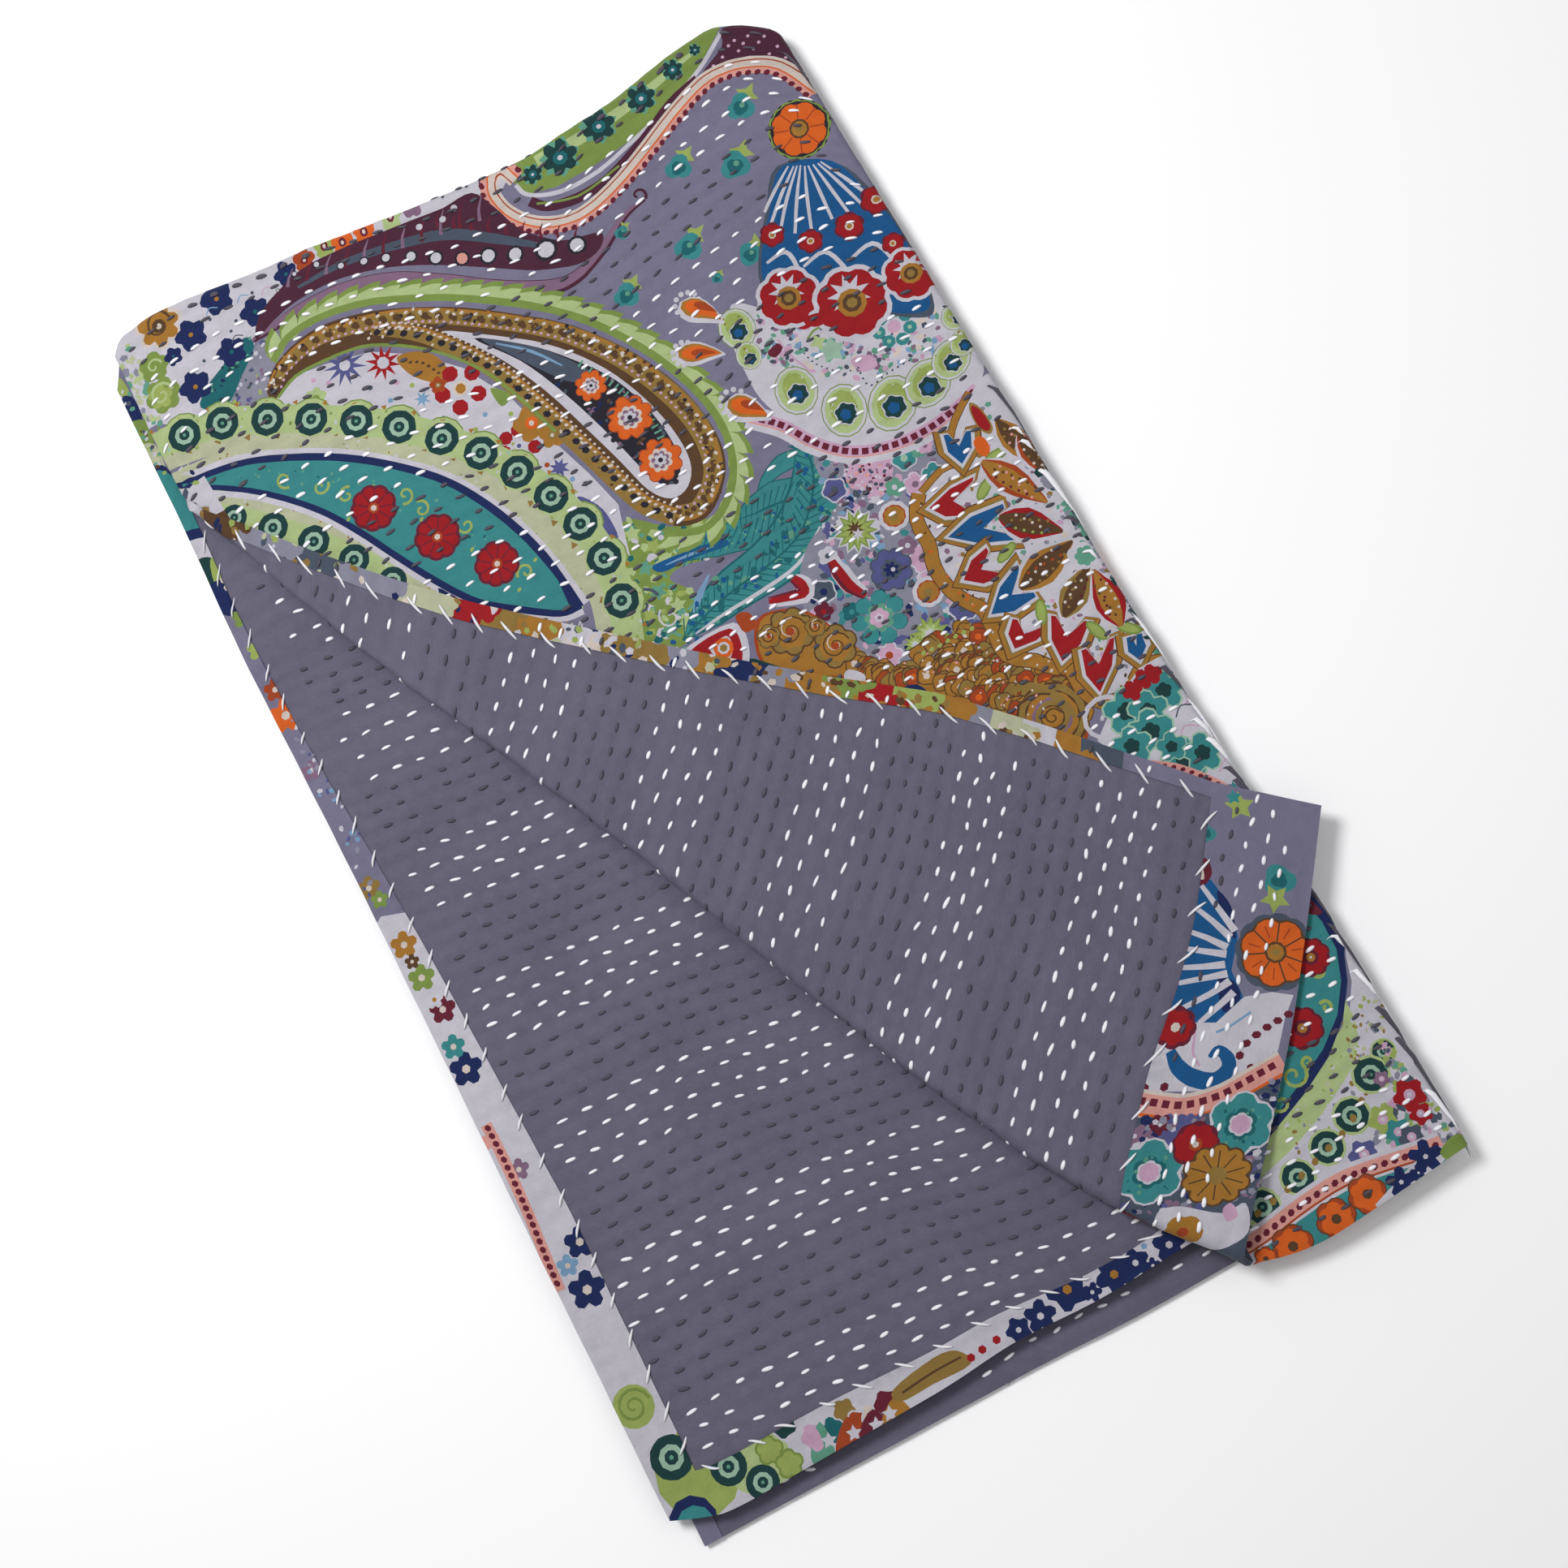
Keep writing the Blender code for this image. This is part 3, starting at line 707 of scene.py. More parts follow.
def drawFarEdge():
    # White field behind the maroon feather, with the left corner's rosette and leaf
    fill("white", mmPairs(-243, 440, -209, 461, -84, 443, 37, 421, 46, 399, 25, 382, -8, 394, -60, 402, -112, 401,
        -154, 389, -188, 351, -225, 357, -258, 364))
    sprinkle(("seaGreen", "grey", "paleLime", "straw"), mmPairs(-242, 436, -231, 425, -232, 400, -240, 356, -251,
        353, -249, 391), 60, 3.0)
    blob("grey", mmPairs(-171, 375, -153, 384, -141, 380, -154, 352, -172, 345, -189, 353, -183, 369))
    sprinkle(("violet", "lime", "white", "slate", "mauve"), mmPairs(-171, 375, -153, 384, -141, 380, -154, 352,
        -172, 345, -189, 353, -183, 369), 60, 1.9)
    blob("deepTeal", mmPairs(-161, 392, -159, 383, -174, 370, -193, 356, -209, 364, -199, 375, -184, 382, -172, 389))
    sprinkle(("bottle", "seaGreen", "navy"), mmPairs(-161, 392, -159, 383, -174, 370, -193, 356, -209, 364, -199,
        375, -184, 382, -172, 389), 26, 1.8)
    petals("leaf", -225, 407, 11, 5, 0.2)
    petals("leaf", -228, 386, 13, 6, 0.2)
    petals("lime", -230, 386, 9, 5, 0.3)
    swirl("paleLime", -229, 387, 9, 1.3, 2.0)
    swirl("paleLime", -225, 407, 6, 1.0, 1.6)
    flower(-210, 431, 15, "ochre", 7, "cream", "brown", "cream")
    swirl("brown", -210, 431, 10, 1.5, 1.6)
    for spot, size in (([(-167, 427)], 12), ([(-193, 413)], 12), ([(-148, 405)], 11), ([(-174, 388)], 11), ([(-206,
            379)], 12), ([(-118, 417)], 9), ([(-210, 406)], 7)):
        flower(*spot[0], size, "navy", 5, None, "navy", "ochre" if size == 12 else "deepTeal", 0.4, 0.42)
    for spot, ink in (([(-87, 420)], "lime"), ([(-75, 416)], "orange"), ([(-59, 414)], "orange"), ([(-39, 412)],
            "paleLime"), ([(-103, 419)], "rust"), ([(-23, 412)], "mauve")):
        flower(*spot[0], 8, ink, 5, None, "wine", "cream")
    for spot in mmPairs(-162, 406, -177, 416, -144, 418, -193, 392, -168, 401, -2, 406, -16, 410, 15, 404):
        disc("slate", *spot, 1.3, 6)
    for k, (x, y) in enumerate(mmPairs(-167, 395, -135, 415, -174, 422, -132, 402, -103, 429, -152, 419)):
        ribbon(("slate", "petalPink", "sky")[k % 3], [(x - 4, y - 2), (x, y + 1.5), (x + 5, y - 1)], 0.8, 3)

    # Green band of dark rosettes
    fill("leaf", mmPairs(43, 394, 58, 408, 118, 408, 167, 413, 197, 417, 219, 420, 210, 409, 183, 392, 152, 381,
        125, 374, 96, 371, 67, 371, 47, 378))
    ribbon("paleLime", mmPairs(63, 393, 94, 393, 127, 396, 156, 400, 191, 406), [9, 9, 8, 6, 2], 4)
    for spot, size in (([(78, 388)], 12.5), ([(110, 394)], 11.5), ([(143, 396)], 10), ([(170, 402)], 7), ([(57,
            388)], 7), ([(189, 406)], 4)):
        star("seaGreen", *spot[0], size * 1.15, 7, 0.72)
        petals("bottle", *spot[0], size, 6, 0.35)
        disc("deepTeal", *spot[0], size * 0.42, 8)
        disc("white", *spot[0], size * 0.16, 6)
    ribbon("white", mmPairs(44, 388, 48, 377, 67, 367, 96, 366, 126, 373, 154, 381, 184, 392, 209, 407), 3.0, 5)
    blob("maroon", mmPairs(212, 408, 242, 394, 244, 372, 243, 348, 227, 373, 208, 385, 183, 387, 205, 398))
    for x, y in mmPairs(214, 397, 223, 395, 232, 389, 236, 378, 222, 385, 213, 389, 202, 391, 229, 376, 237, 368,
            218, 392, 227, 387, 209, 396, 194, 389):
        disc("petalPink", x, y, 1.3, 5)

    # Cream band with its row of dark red beads, curling in at the left
    ribbon("maroon", mmPairs(47, 372, 56, 362, 75, 357, 99, 358, 128, 368, 158, 382, 181, 387), 7.0, 4)
    ribbon("leaf", mmPairs(50, 368, 76, 358, 109, 362), 1.6, 4)
    ribbon("navy", mmPairs(48, 391, 45, 405, 32, 407, 24, 398, 25, 380, 29, 367), 4.2, 5)
    cream = mmPairs(45, 391, 41, 401, 33, 401, 28, 391, 31, 374, 41, 359, 56, 349, 75, 346, 102, 352, 129, 363, 160,
        377, 187, 384, 211, 379, 231, 365, 243, 338)
    ribbon("pink", cream, 11.5, 5, -1.5)
    ribbon("cream", cream, 8.0, 5, 1.0)
    ribbon("rust", cream, 0.9, 5, 2.6)
    ribbon("orange", cream, 1.0, 5, -2.6)
    beads("wine", cream, 2.4, 6.2, -6.4)


def drawFeather():
    rim = mmPairs(-158, 386, -123, 388, -92, 385, -58, 373, -28, 353, -1, 331, 29, 312, 50, 308, 74, 316, 96, 328,
        113, 331)
    ribbon("maroon", rim, [3, 9, 11, 12, 12, 12, 11, 9, 7, 5, 2], 5, 1.0)
    ribbon("mauve", rim, [2, 6, 8, 9, 9, 9, 8, 6, 4.5, 3, 1], 5, 2.0)
    swirl("maroon", 110, 337, 6, 0.8, 2.2, -1.0, 1)
    blob("maroon", mmPairs(-156, 387, -143, 403, -110, 414, -78, 413, -56, 409, -27, 404, -5, 400, 16, 399, 25, 381,
        33, 358, 53, 336, 77, 328, 72, 318, 54, 316, 29, 327, 6, 344, -23, 365, -53, 382, -88, 394, -118, 396, -140,
        392))
    ribbon("slate", mmPairs(-115, 404, -83, 403, -47, 395, -13, 383, 15, 362, 42, 338), [2, 5, 6, 8, 7, 3], 4)
    for k in range(11):  # barbs leaning back along the feather
        share = k / 10
        x, y = 1.0 * np.array(([(-121, 408)])[0]) * (1 - share) + np.array(([(12, 378)])[0]) * share
        ribbon("wine" if k % 2 else "mauve", [(x, y), (x + 3, y + 5 + 3 * share), (x + 9, y + 10 + 6 * share)],
            [2.6, 1.8, 0.6], 3)
    for k in range(9):
        share = k / 8
        x, y = np.array(([(-14, 390)])[0]) * (1 - share) + np.array(([(61, 330)])[0]) * share
        ribbon("wine", [(x, y), (x + 1, y + 5), (x + 5, y + 9)], [2.4, 1.6, 0.5], 3)
    dots = mmPairs(-128, 410, -113, 414, -97, 412, -83, 402, -68, 396, -54, 390, -39, 382, -25, 372, -10, 362, 6,
        354, 22, 345, 41, 336, 60, 328)
    for k, spot in enumerate(dots):
        size = (1.4, 2.0, 2.6, 3.0, 3.4, 3.8, 4.4, 5.2, 5.2, 6.2, 6.0, 8.0, 6.6)[k]
        disc("dark", *spot, size, 12)
        disc("white" if k != 8 else "pink", *spot, size * 0.72, 10)
    for spot in mmPairs(-25, 397, 1, 396, -9, 393):
        disc("white", *spot, 2.4, 8)
    beads("mauve", mmPairs(-142, 387, -114, 389, -84, 385, -57, 375), 1.1, 3.2)


def drawPaisley():
    upper = mmPairs(-152, 366, -136, 376, -112, 377, -83, 370, -51, 355, -21, 336, 12, 310, 39, 282, 61, 249, 77,
        213, 84, 178, 80, 149, 66, 128, 44, 118, 21, 128)
    sawTooth("leaf", upper, 14, 13.5, 1, 0.9)
    sawTooth("paleLime", upper, 10.5, 13.5, 1, 0.8)
    ribbon("leaf", upper, 5.0, 5, 0.5)
    body = mmPairs(-165, 349, -151, 364, -122, 372, -93, 367, -60, 353, -24, 331, 9, 304, 35, 278, 57, 246, 73, 210,
        79, 176, 76, 150, 64, 133, 47, 123, 29, 128, 15, 146, 6, 168, -2, 196, -10, 224, -19, 253, -31, 283, -50,
        310, -72, 330, -95, 343, -120, 348, -143, 349, -160, 342)
    blob("brown", body)
    upperBand = mmPairs(-160, 350, -147, 360, -121, 366, -92, 360, -59, 347, -26, 326, 6, 300, 31, 275, 52, 244, 67,
        209, 73, 178, 70, 153, 61, 139, 46, 130, 32, 134)
    lowerBand = mmPairs(32, 134, 19, 151, 11, 173, 3, 201, -6, 230, -15, 258, -26, 285, -42, 311, -59, 332, -85, 350)
    ribbon("gold", upperBand, [3, 8, 10, 11, 11, 11, 11, 12, 13, 14, 14, 13, 12, 11, 10], 5, -1.5)
    ribbon("gold", lowerBand, [10, 12, 12, 12, 12, 12, 11, 10, 8, 3], 5, 1.5)
    ribbon("ochre", upperBand, 1.8, 5, 3.2)
    ribbon("ochre", lowerBand, 1.8, 5, -3.6)
    ribbon("leaf", body[-9:], 2.2, 4, 0)
    beads("brown", upperBand, 2.9, 9.5, -1.0, 6, 0.8)
    beads("dark", lowerBand, 2.9, 9.0, 1.2, 6, 0.8)
    beads("petalPink", upperBand, 1.2, 4.8, -5.2)
    beads("cream", lowerBand, 1.1, 4.4, -5.6)
    strew(("brown", "cream", "ochre", "dark", "gold"), upperBand, 4.6, 190, 1.5)
    strew(("cream", "brown", "gold", "ochre"), lowerBand, 4.6, 130, 1.4)
    beads("brown", upperBand, 2.3, 9.5, -2.4, 5, 0.9)
    beads("cream", upperBand, 1.7, 9.5, 1.6, 5, 0.7)
    beads("dark", lowerBand, 2.6, 9.0, 1.2, 6, 0.9)
    beads("cream", lowerBand, 1.5, 4.5, -2.2, 5, 0.7)
    inner = mmPairs(-43, 324, -15, 303, 12, 279, 33, 252, 48, 220, 56, 187, 56, 161, 47, 147, 34, 146, 24, 159, 17,
        185, 8, 216, -3, 251, -17, 283, -33, 309)
    blob("white", inner)
    blob("dark", mmPairs(-28, 309, 0, 286, 22, 261, 40, 233, 50, 201, 52, 173, 47, 158, 36, 155, 29, 166, 23, 189,
        15, 218, 5, 248, -8, 278))
    sprinkle(("slate", "brown", "slate", "navy", "mauve"), mmPairs(8, 272, 22, 261, 40, 233, 50, 201, 52, 173, 47,
        158, 36, 155, 29, 166, 23, 189, 15, 218, 5, 248), 90, 2.0)
    blob("slate", mmPairs(-24, 306, 0, 286, 17, 266, 28, 247, 15, 247, 1, 265, -12, 286))
    ribbon("sky", mmPairs(-17, 298, 1, 280, 14, 261), [1, 2.2, 1], 3)
    ticks("seaGreen", mmPairs(24, 258, 39, 227, 47, 198, 46, 172), 5.0, 1.6, 4.2)
    for spot, size in (([(24, 239)], 10.5), ([(36, 207)], 15), ([(40, 172)], 14.5)):
        petals("rust", *spot[0], size * 1.04, 8, 0.2)
        petals("orange", *spot[0], size, 8, 0.26)
        petals("cream", *spot[0], size * 0.56, 8, 0.2)
        petals("mauve", *spot[0], size * 0.42, 7, 0.3)
        petals("white", *spot[0], size * 0.30, 6, 0.3)
        disc("dark", *spot[0], size * 0.12, 6)
    for spot in mmPairs(20, 199, 42, 190, 42, 154):
        disc("dark", *spot, 2.0, 6)


def drawWhiteField():
    fill("white", mmPairs(-172, 341, -156, 352, -123, 346, -92, 337, -65, 319, -43, 294, -25, 260, -16, 225, -4,
        188, 3, 160, -6, 126, -15, 145, -23, 182, -37, 214, -59, 247, -88, 282, -127, 313, -165, 333))
    blob("violet", mmPairs(-17, 178, -7, 162, -7, 140, -16, 150, -22, 165))
    star("violet", -111, 338, 15, 11, 0.4)
    disc("white", -111, 338, 4, 8)
    star("red", -88, 326, 12.5, 10, 0.42)
    disc("white", -88, 326, 4.2, 8)
    blob("ochre", mmPairs(-78, 325, -61, 319, -53, 305, -55, 291, -68, 299, -77, 312))
    beads("brown", mmPairs(-74, 318, -65, 312, -58, 298), 1.4, 4.4)
    dotFlower(-51, 283, 18.5, "red", "cream", 5, 0.45)
    disc("ochre", -51, 283, 3.6, 7)
    flower(-63, 293, 6, "rust", 5)
    blob("leaf", mmPairs(-34, 273, -24, 262, -33, 258))
    dotFlower(-35, 228, 15.5, "wine", "white", 7, 0.3)
    dotFlower(-35, 228, 15, "red", "white", 7, 0.3)
    petals("white", -35, 228, 6.5, 6, 0.25)
    disc("violet", -35, 228, 1.6, 6)
    flower(-21, 237, 13, "ochre", 5, None, "orange", "cream", 0.2, 0.4)
    flower(-13, 223, 9, "ochre", 5, None, "gold", "cream")
    star("violet", -19, 201, 7, 8, 0.5)
    star("sky", -76, 290, 6, 7, 0.4)
    flower(-138, 328, 8, "paleLime", 6, None, "leaf", "white")
    for k, spot in enumerate(mmPairs(-103, 315, -86, 309, -45, 259, -55, 253, -25, 207, -9, 183, -134, 340, -95,
            300, -30, 250, -112, 308, -70, 271, -126, 333, -15, 190, -78, 302)):
        disc(("slate", "petalPink", "sky", "lime", "rust")[k % 5], *spot, 1.9, 6)


def drawRingBand():
    path = mmPairs(-258, 357, -227, 353, -201, 347, -173, 333, -147, 317, -121, 299, -98, 281, -77, 259, -59, 237,
        -44, 213, -32, 187, -24, 161, -21, 133, -24, 103, -34, 73)
    for spot in path[1:-1]:
        disc("leaf", *spot, 15.4, 14)
        disc("paleLime", *spot, 14.4, 14)
    ribbon("paleLime", path, 20, 4)
    ribbon("straw", path, 10.0, 4, -14.5)
    strew(("white", "lime", "mint", "leaf"), path, 11, 130, 1.5)
    beads("gold", path, 2.9, 20.5, -11.6, 3, 1.0)
    beads("ochre", path, 2.2, 20.5, 11.4, 3, 1.0)
    for spot in path[1:-1]:
        disc("paleLime", *spot, 12.6, 12)
        ringDot(*spot, 11.2)


def drawLeaf():
    upper = mmPairs(-249, 325, -205, 317, -170, 301, -137, 280, -107, 254, -83, 226, -65, 190, -54, 154, -48, 113)
    lower = mmPairs(-249, 325, -215, 303, -191, 283, -169, 258, -152, 231, -138, 204, -122, 175, -105, 150, -84,
        132, -62, 116, -48, 113)
    ribbon("straw", upper, [4, 12, 14, 15, 15, 15, 15, 15, 12], 5, 6.5)
    strew(("white", "gold", "white", "paleLime"), upper + np.array((1, 5)), 5.5, 170, 1.0)
    ribbon("white", upper, 4.4, 5, 3.6)
    fill("straw", np.concatenate([mmPairs(-257, 327, -215, 305, -191, 284, -169, 258, -152, 231, -138, 204, -122,
        175, -101, 146), mmPairs(-91, 118, -128, 139, -160, 184, -195, 224, -224, 253, -243, 278, -254, 305)]))
    blob("paleLime", mmPairs(-231, 300, -205, 280, -181, 254, -158, 225, -142, 196, -154, 195, -179, 220, -206, 251,
        -229, 278))
    strew(("white", "gold", "white", "paleLime", "ochre"), lower - np.array((1, 6)), 6.0, 150, 1.0)
    ribbon("white", lower, 4.0, 5, -3.6)
    for spot, size in (([(-222, 285)], 8.6), ([(-202, 265)], 10.2), ([(-182, 242)], 10.8), ([(-164, 217)], 10.4),
            ([(-148, 191)], 9.6)):
        ringDot(*spot[0], size)
    sprinkle(("lime", "gold", "leaf", "white"), mmPairs(-240, 291, -212, 252, -185, 220, -160, 185, -166, 181, -198,
        218, -229, 256, -245, 286), 60, 1.6)
    blob("navy", mmPairs(-124, 172, -112, 154, -102, 144, -109, 142, -122, 151))
    both = np.concatenate([curveThrough(upper, 5), curveThrough(lower, 5)[::-1]])
    fill("navy", both)
    ribbon("navy", upper, [2, 4.0, 4.6, 5.0, 5.0, 5.0, 5.4, 5.6, 3], 5)
    ribbon("navy", lower, [2, 3.0, 3.6, 4.0, 4.4, 4.4, 4.6, 4.8, 4.8, 4.4, 3], 5)
    inner = [sidesOf(curveThrough(line, 5), gap, gap)[side] for line, gap, side in ((upper, 2.6, 1), (lower, 2.2, 0))]
    fill("teal", np.concatenate([inner[0][1:-3], inner[1][::-1][3:-1]]))
    strew(("seaGreen", "deepTeal", "seaGreen"), mmPairs(-205, 304, -167, 282, -136, 257, -109, 225, -87, 185, -70,
        148), 7, 46, 1.3)
    for k, (x, y) in enumerate(mmPairs(-162, 273, -149, 258, -110, 224, -89, 199, -69, 151, -115, 238, -181, 290)):
        swirl("lime", x, y, 6.2, 1.1, 1.9, 0.8 * k, 1 if k % 2 else -1)
    for x, y in mmPairs(-131, 254, -113, 218, -93, 183, -78, 143, -155, 243, -60, 155, -90, 167):
        disc("lime", x, y, 1.9, 6, 0.6, 0.5)
    for spot, size in (([(-137, 241)], 15), ([(-109, 202)], 15), ([(-83, 166)], 14.6)):
        petals("wine", *spot[0], size * 1.06, 9, 0.08)
        petals("red", *spot[0], size * 0.94, 9, 0.16)
        for k in range(9):
            a = 2 * math.pi * (k + 0.5) / 9
            x, y = spot[0]
            ribbon("wine", [(x + 4 * math.cos(a), y + 4 * math.sin(a)), (x + 11 * math.cos(a),
                y + 11 * math.sin(a))], 0.9, 1)
        disc("rust", *spot[0], size * 0.24, 8)
        disc("cream", *spot[0], size * 0.14, 6)


def drawBuds():
    for x, y, size, turn in (
        (196, 354, 10, 0.6), (142, 340, 9.5, 0.5), (174, 321, 10.5, 0.8), (122, 288, 10, 0.3),
        (154, 262, 8.5, 1.2), (72, 280, 9, 0.6), (89, 320, 5, 0.2), (128, 259, 4, 0.5),
    ):
        star("lime", x + size * 0.75, y + size * 0.55, size * 0.85, 4, 0.45, turn)
        petals("teal", x, y, size, 3, 0.35, turn + 0.5, 5)
        petals("deepTeal", x - 0.5, y - 0.5, size * 0.55, 3, 0.3, turn + 1.2, 4)
        disc("seaGreen", x + 1.2, y + 0.8, size * 0.2, 6)


def drawFan():
    blob("slate", mmPairs(197, 306, 230, 287, 241, 258, 245, 227, 242, 190, 235, 166, 220, 171, 192, 196, 166, 213,
        150, 235, 157, 257, 176, 282))
    blob("blue", mmPairs(199, 304, 228, 290, 238, 259, 242, 228, 240, 191, 234, 170, 217, 176, 193, 198, 172, 212,
        153, 233, 157, 253, 178, 281))
    for path in (
        mmPairs(206, 300, 190, 287, 173, 271), mmPairs(208, 299, 192, 283, 178, 266), mmPairs(210, 298, 197, 279,
            185, 259), mmPairs(212, 296, 203, 276, 195, 255),
        mmPairs(214, 295, 212, 275, 210, 255), mmPairs(217, 294, 219, 274, 221, 253), mmPairs(220, 293, 226, 273,
            231, 254), mmPairs(203, 302, 188, 292, 175, 282),
        mmPairs(222, 293, 231, 273, 238, 256),
    ):
        ribbon("white", path, [1.0, 2.4, 2.0], 3)
    for path in (mmPairs(160, 251, 174, 251, 175, 235, 169, 217), mmPairs(179, 236, 195, 238, 201, 223, 200, 207),
            mmPairs(207, 225, 224, 227, 230, 211, 229, 190), mmPairs(173, 214, 188, 221, 200, 218)):
        ribbon("white", path, [2.0, 3.0, 3.0, 2.0], 4)
    for (x, y), size in (([(172, 266)][0], 8), ([(191, 249)][0], 8), ([(217, 245)][0], 9.5), ([(240, 252)][0], 10),
            ([(235, 220)][0], 7)):
        petals("wine", x, y, size * 1.08, 6, 0.16)
        petals("red", x, y, size * 0.94, 5, 0.22, 0.5)
        disc("cream", x, y, size * 0.32, 7)
        disc("ochre", x, y, size * 0.2, 6)
    for (x, y), size in (([(161, 223)][0], 19), ([(194, 199)][0], 23), ([(235, 196)][0], 17)):
        petals("white", x, y, size * 1.14, 8, 0.08)
        petals("red", x, y, size, 8, 0.1)
        star("white", x + 1, y + size * 0.25, size * 0.62, 9, 0.5)
        disc("ochre", x, y, size * 0.42, 10)
        disc("brown", x, y, size * 0.28, 8)
        disc("gold", x, y, size * 0.16, 7)
    blob("red", mmPairs(163, 206, 173, 204, 178, 197, 168, 196, 162, 201))
    x, y = [(221, 320)][0]
    disc("dark", x, y, 20.5, 18)
    petals("leaf", x, y, 20.5, 16, 0.06)
    disc("dark", x, y, 19, 16)
    petals("orange", x, y, 18.2, 8, 0.12)
    for k in range(8):
        a = 2 * math.pi * (k + 0.5) / 8
        ribbon("rust", [(x + 7 * math.cos(a), y + 7 * math.sin(a)), (x + 17 * math.cos(a), y + 17 * math.sin(a))],
            0.9, 1)
    disc("brown", x, y, 6.6, 10)
    disc("ochre", x, y, 5.2, 9)
    disc("gold", x, y, 2.4, 7)


def drawMedallion():
    edge = mmPairs(102, 168, 118, 151, 130, 131, 147, 114, 169, 104, 193, 101, 217, 104, 234, 109)
    blob("white", mmPairs(127, 238, 116, 215, 114, 197, 114, 173, 123, 149, 136, 129, 154, 113, 175, 103, 199, 100,
        220, 103, 239, 111, 248, 134, 249, 162, 246, 186, 219, 193, 190, 195, 157, 213, 143, 226))
    sprinkle(("slate", "petalPink", "mauve", "seaGreen", "sky", "cream"), mmPairs(132, 228, 159, 205, 189, 183, 238,
        175, 239, 145, 208, 142, 172, 152, 144, 178, 126, 200), 210, 2.6)
    for (x, y), size, lean in (
        ([(123, 222)][0], 13, 0.2), ([(121, 202)][0], 9, 0.2), ([(136, 166)][0], 15, 0.1), ([(156, 139)][0], 16,
            -0.1), ([(184, 127)][0], 17, -0.5),
        ([(209, 127)][0], 15.5, -0.8), ([(229, 133)][0], 13, -0.8), ([(241, 139)][0], 9, -0.8), ([(246, 157)][0],
            10, -0.8),
    ):
        stand = 1.35 + lean
        disc("leaf", x, y, size * 1.10, 14, 0.84, stand)
        disc("white", x, y, size * 1.05, 14, 0.84, stand)
        disc("paleLime", x, y, size * 0.95, 14, 0.82, stand)
        disc("lime", x + 0.3, y + 1.5, size * 0.74, 10, 0.74, stand)
        strew(("white", "leaf", "gold", "paleLime"), [(x - 1, y + 2), (x + 2, y + 5)], size * 0.5, 10, 1.0)
        petals("white", x, y - 2.5, size * 0.50, 6, 0.24, 0.4)
        petals("bottle", x, y - 2.5, size * 0.46, 6, 0.34, 0.4)
        petals("blue", x - 0.6, y - 3, size * 0.24, 5, 0.3, 0.2)
    ribbon("white", edge, 15, 5, -1.0)
    ribbon("petalPink", edge, 7.6, 5, -0.5)
    ribbon("pink", edge, 0.9, 5, -4.0)
    beads("wine", edge, 3.0, 6.4, -0.5, 4, 1.0)
    x, y = [(209, 171)][0]
    dotFlower(x, y, 15, "teal", "petalPink", 7, 0.3)
    for k in range(7):
        disc("mint", x + 10 * math.cos(0.3 + k * 0.9), y + 10 * math.sin(0.3 + k * 0.9), 1.5, 6)
    star("mint", 168, 178, 9, 5, 0.6)
    star("paleLime", 163, 187, 6, 4, 0.5)
    star("slate", 181, 186, 10, 9, 0.35)
    blob("red", mmPairs(156, 206, 167, 208, 174, 205, 168, 199, 159, 199))
    blob("wine", mmPairs(132, 197, 140, 200, 142, 195, 135, 192))
    blob("petalPink", mmPairs(175, 166, 187, 163, 188, 154, 178, 155))
    beads("slate", mmPairs(177, 161, 177, 145, 192, 146, 207, 146), 0.9, 4.0)
    beads("slate", mmPairs(151, 190, 155, 175, 166, 162), 0.8, 3.6)
    ribbon("petalPink", mmPairs(142, 202, 144, 188, 150, 172), 1.2, 3)
    ribbon("leaf", mmPairs(158, 192, 164, 195, 169, 195), 1.4, 3)


def drawDrops():
    for x, y, length, width, angle, bend in (
        (100, 255, 27, 13, -0.72, -0.20), (83, 227, 27, 12, -0.42, -0.12), (95, 181, 26, 14, -0.66, -0.2),
    ):
        drop("white", x - 2.4, y + 0.8, length * 1.2, width * 1.35, angle, bend)
        for a in np.linspace(0.6, 5.2, 9):  # scalloped rim round the head
            disc("white", x + 3 + width * 0.62 * math.cos(a + angle), y - 1 + width * 0.62 * math.sin(a + angle),
                1.9, 6)
        drop("ochre", x - 0.4, y + 0.6, length * 1.04, width, angle, bend)
        drop("orange", x + 1.6, y - 0.6, length * 0.9, width * 0.72, angle, bend)
        drop("rust", x + 7, y - 3.4, length * 0.6, width * 0.4, angle, bend)


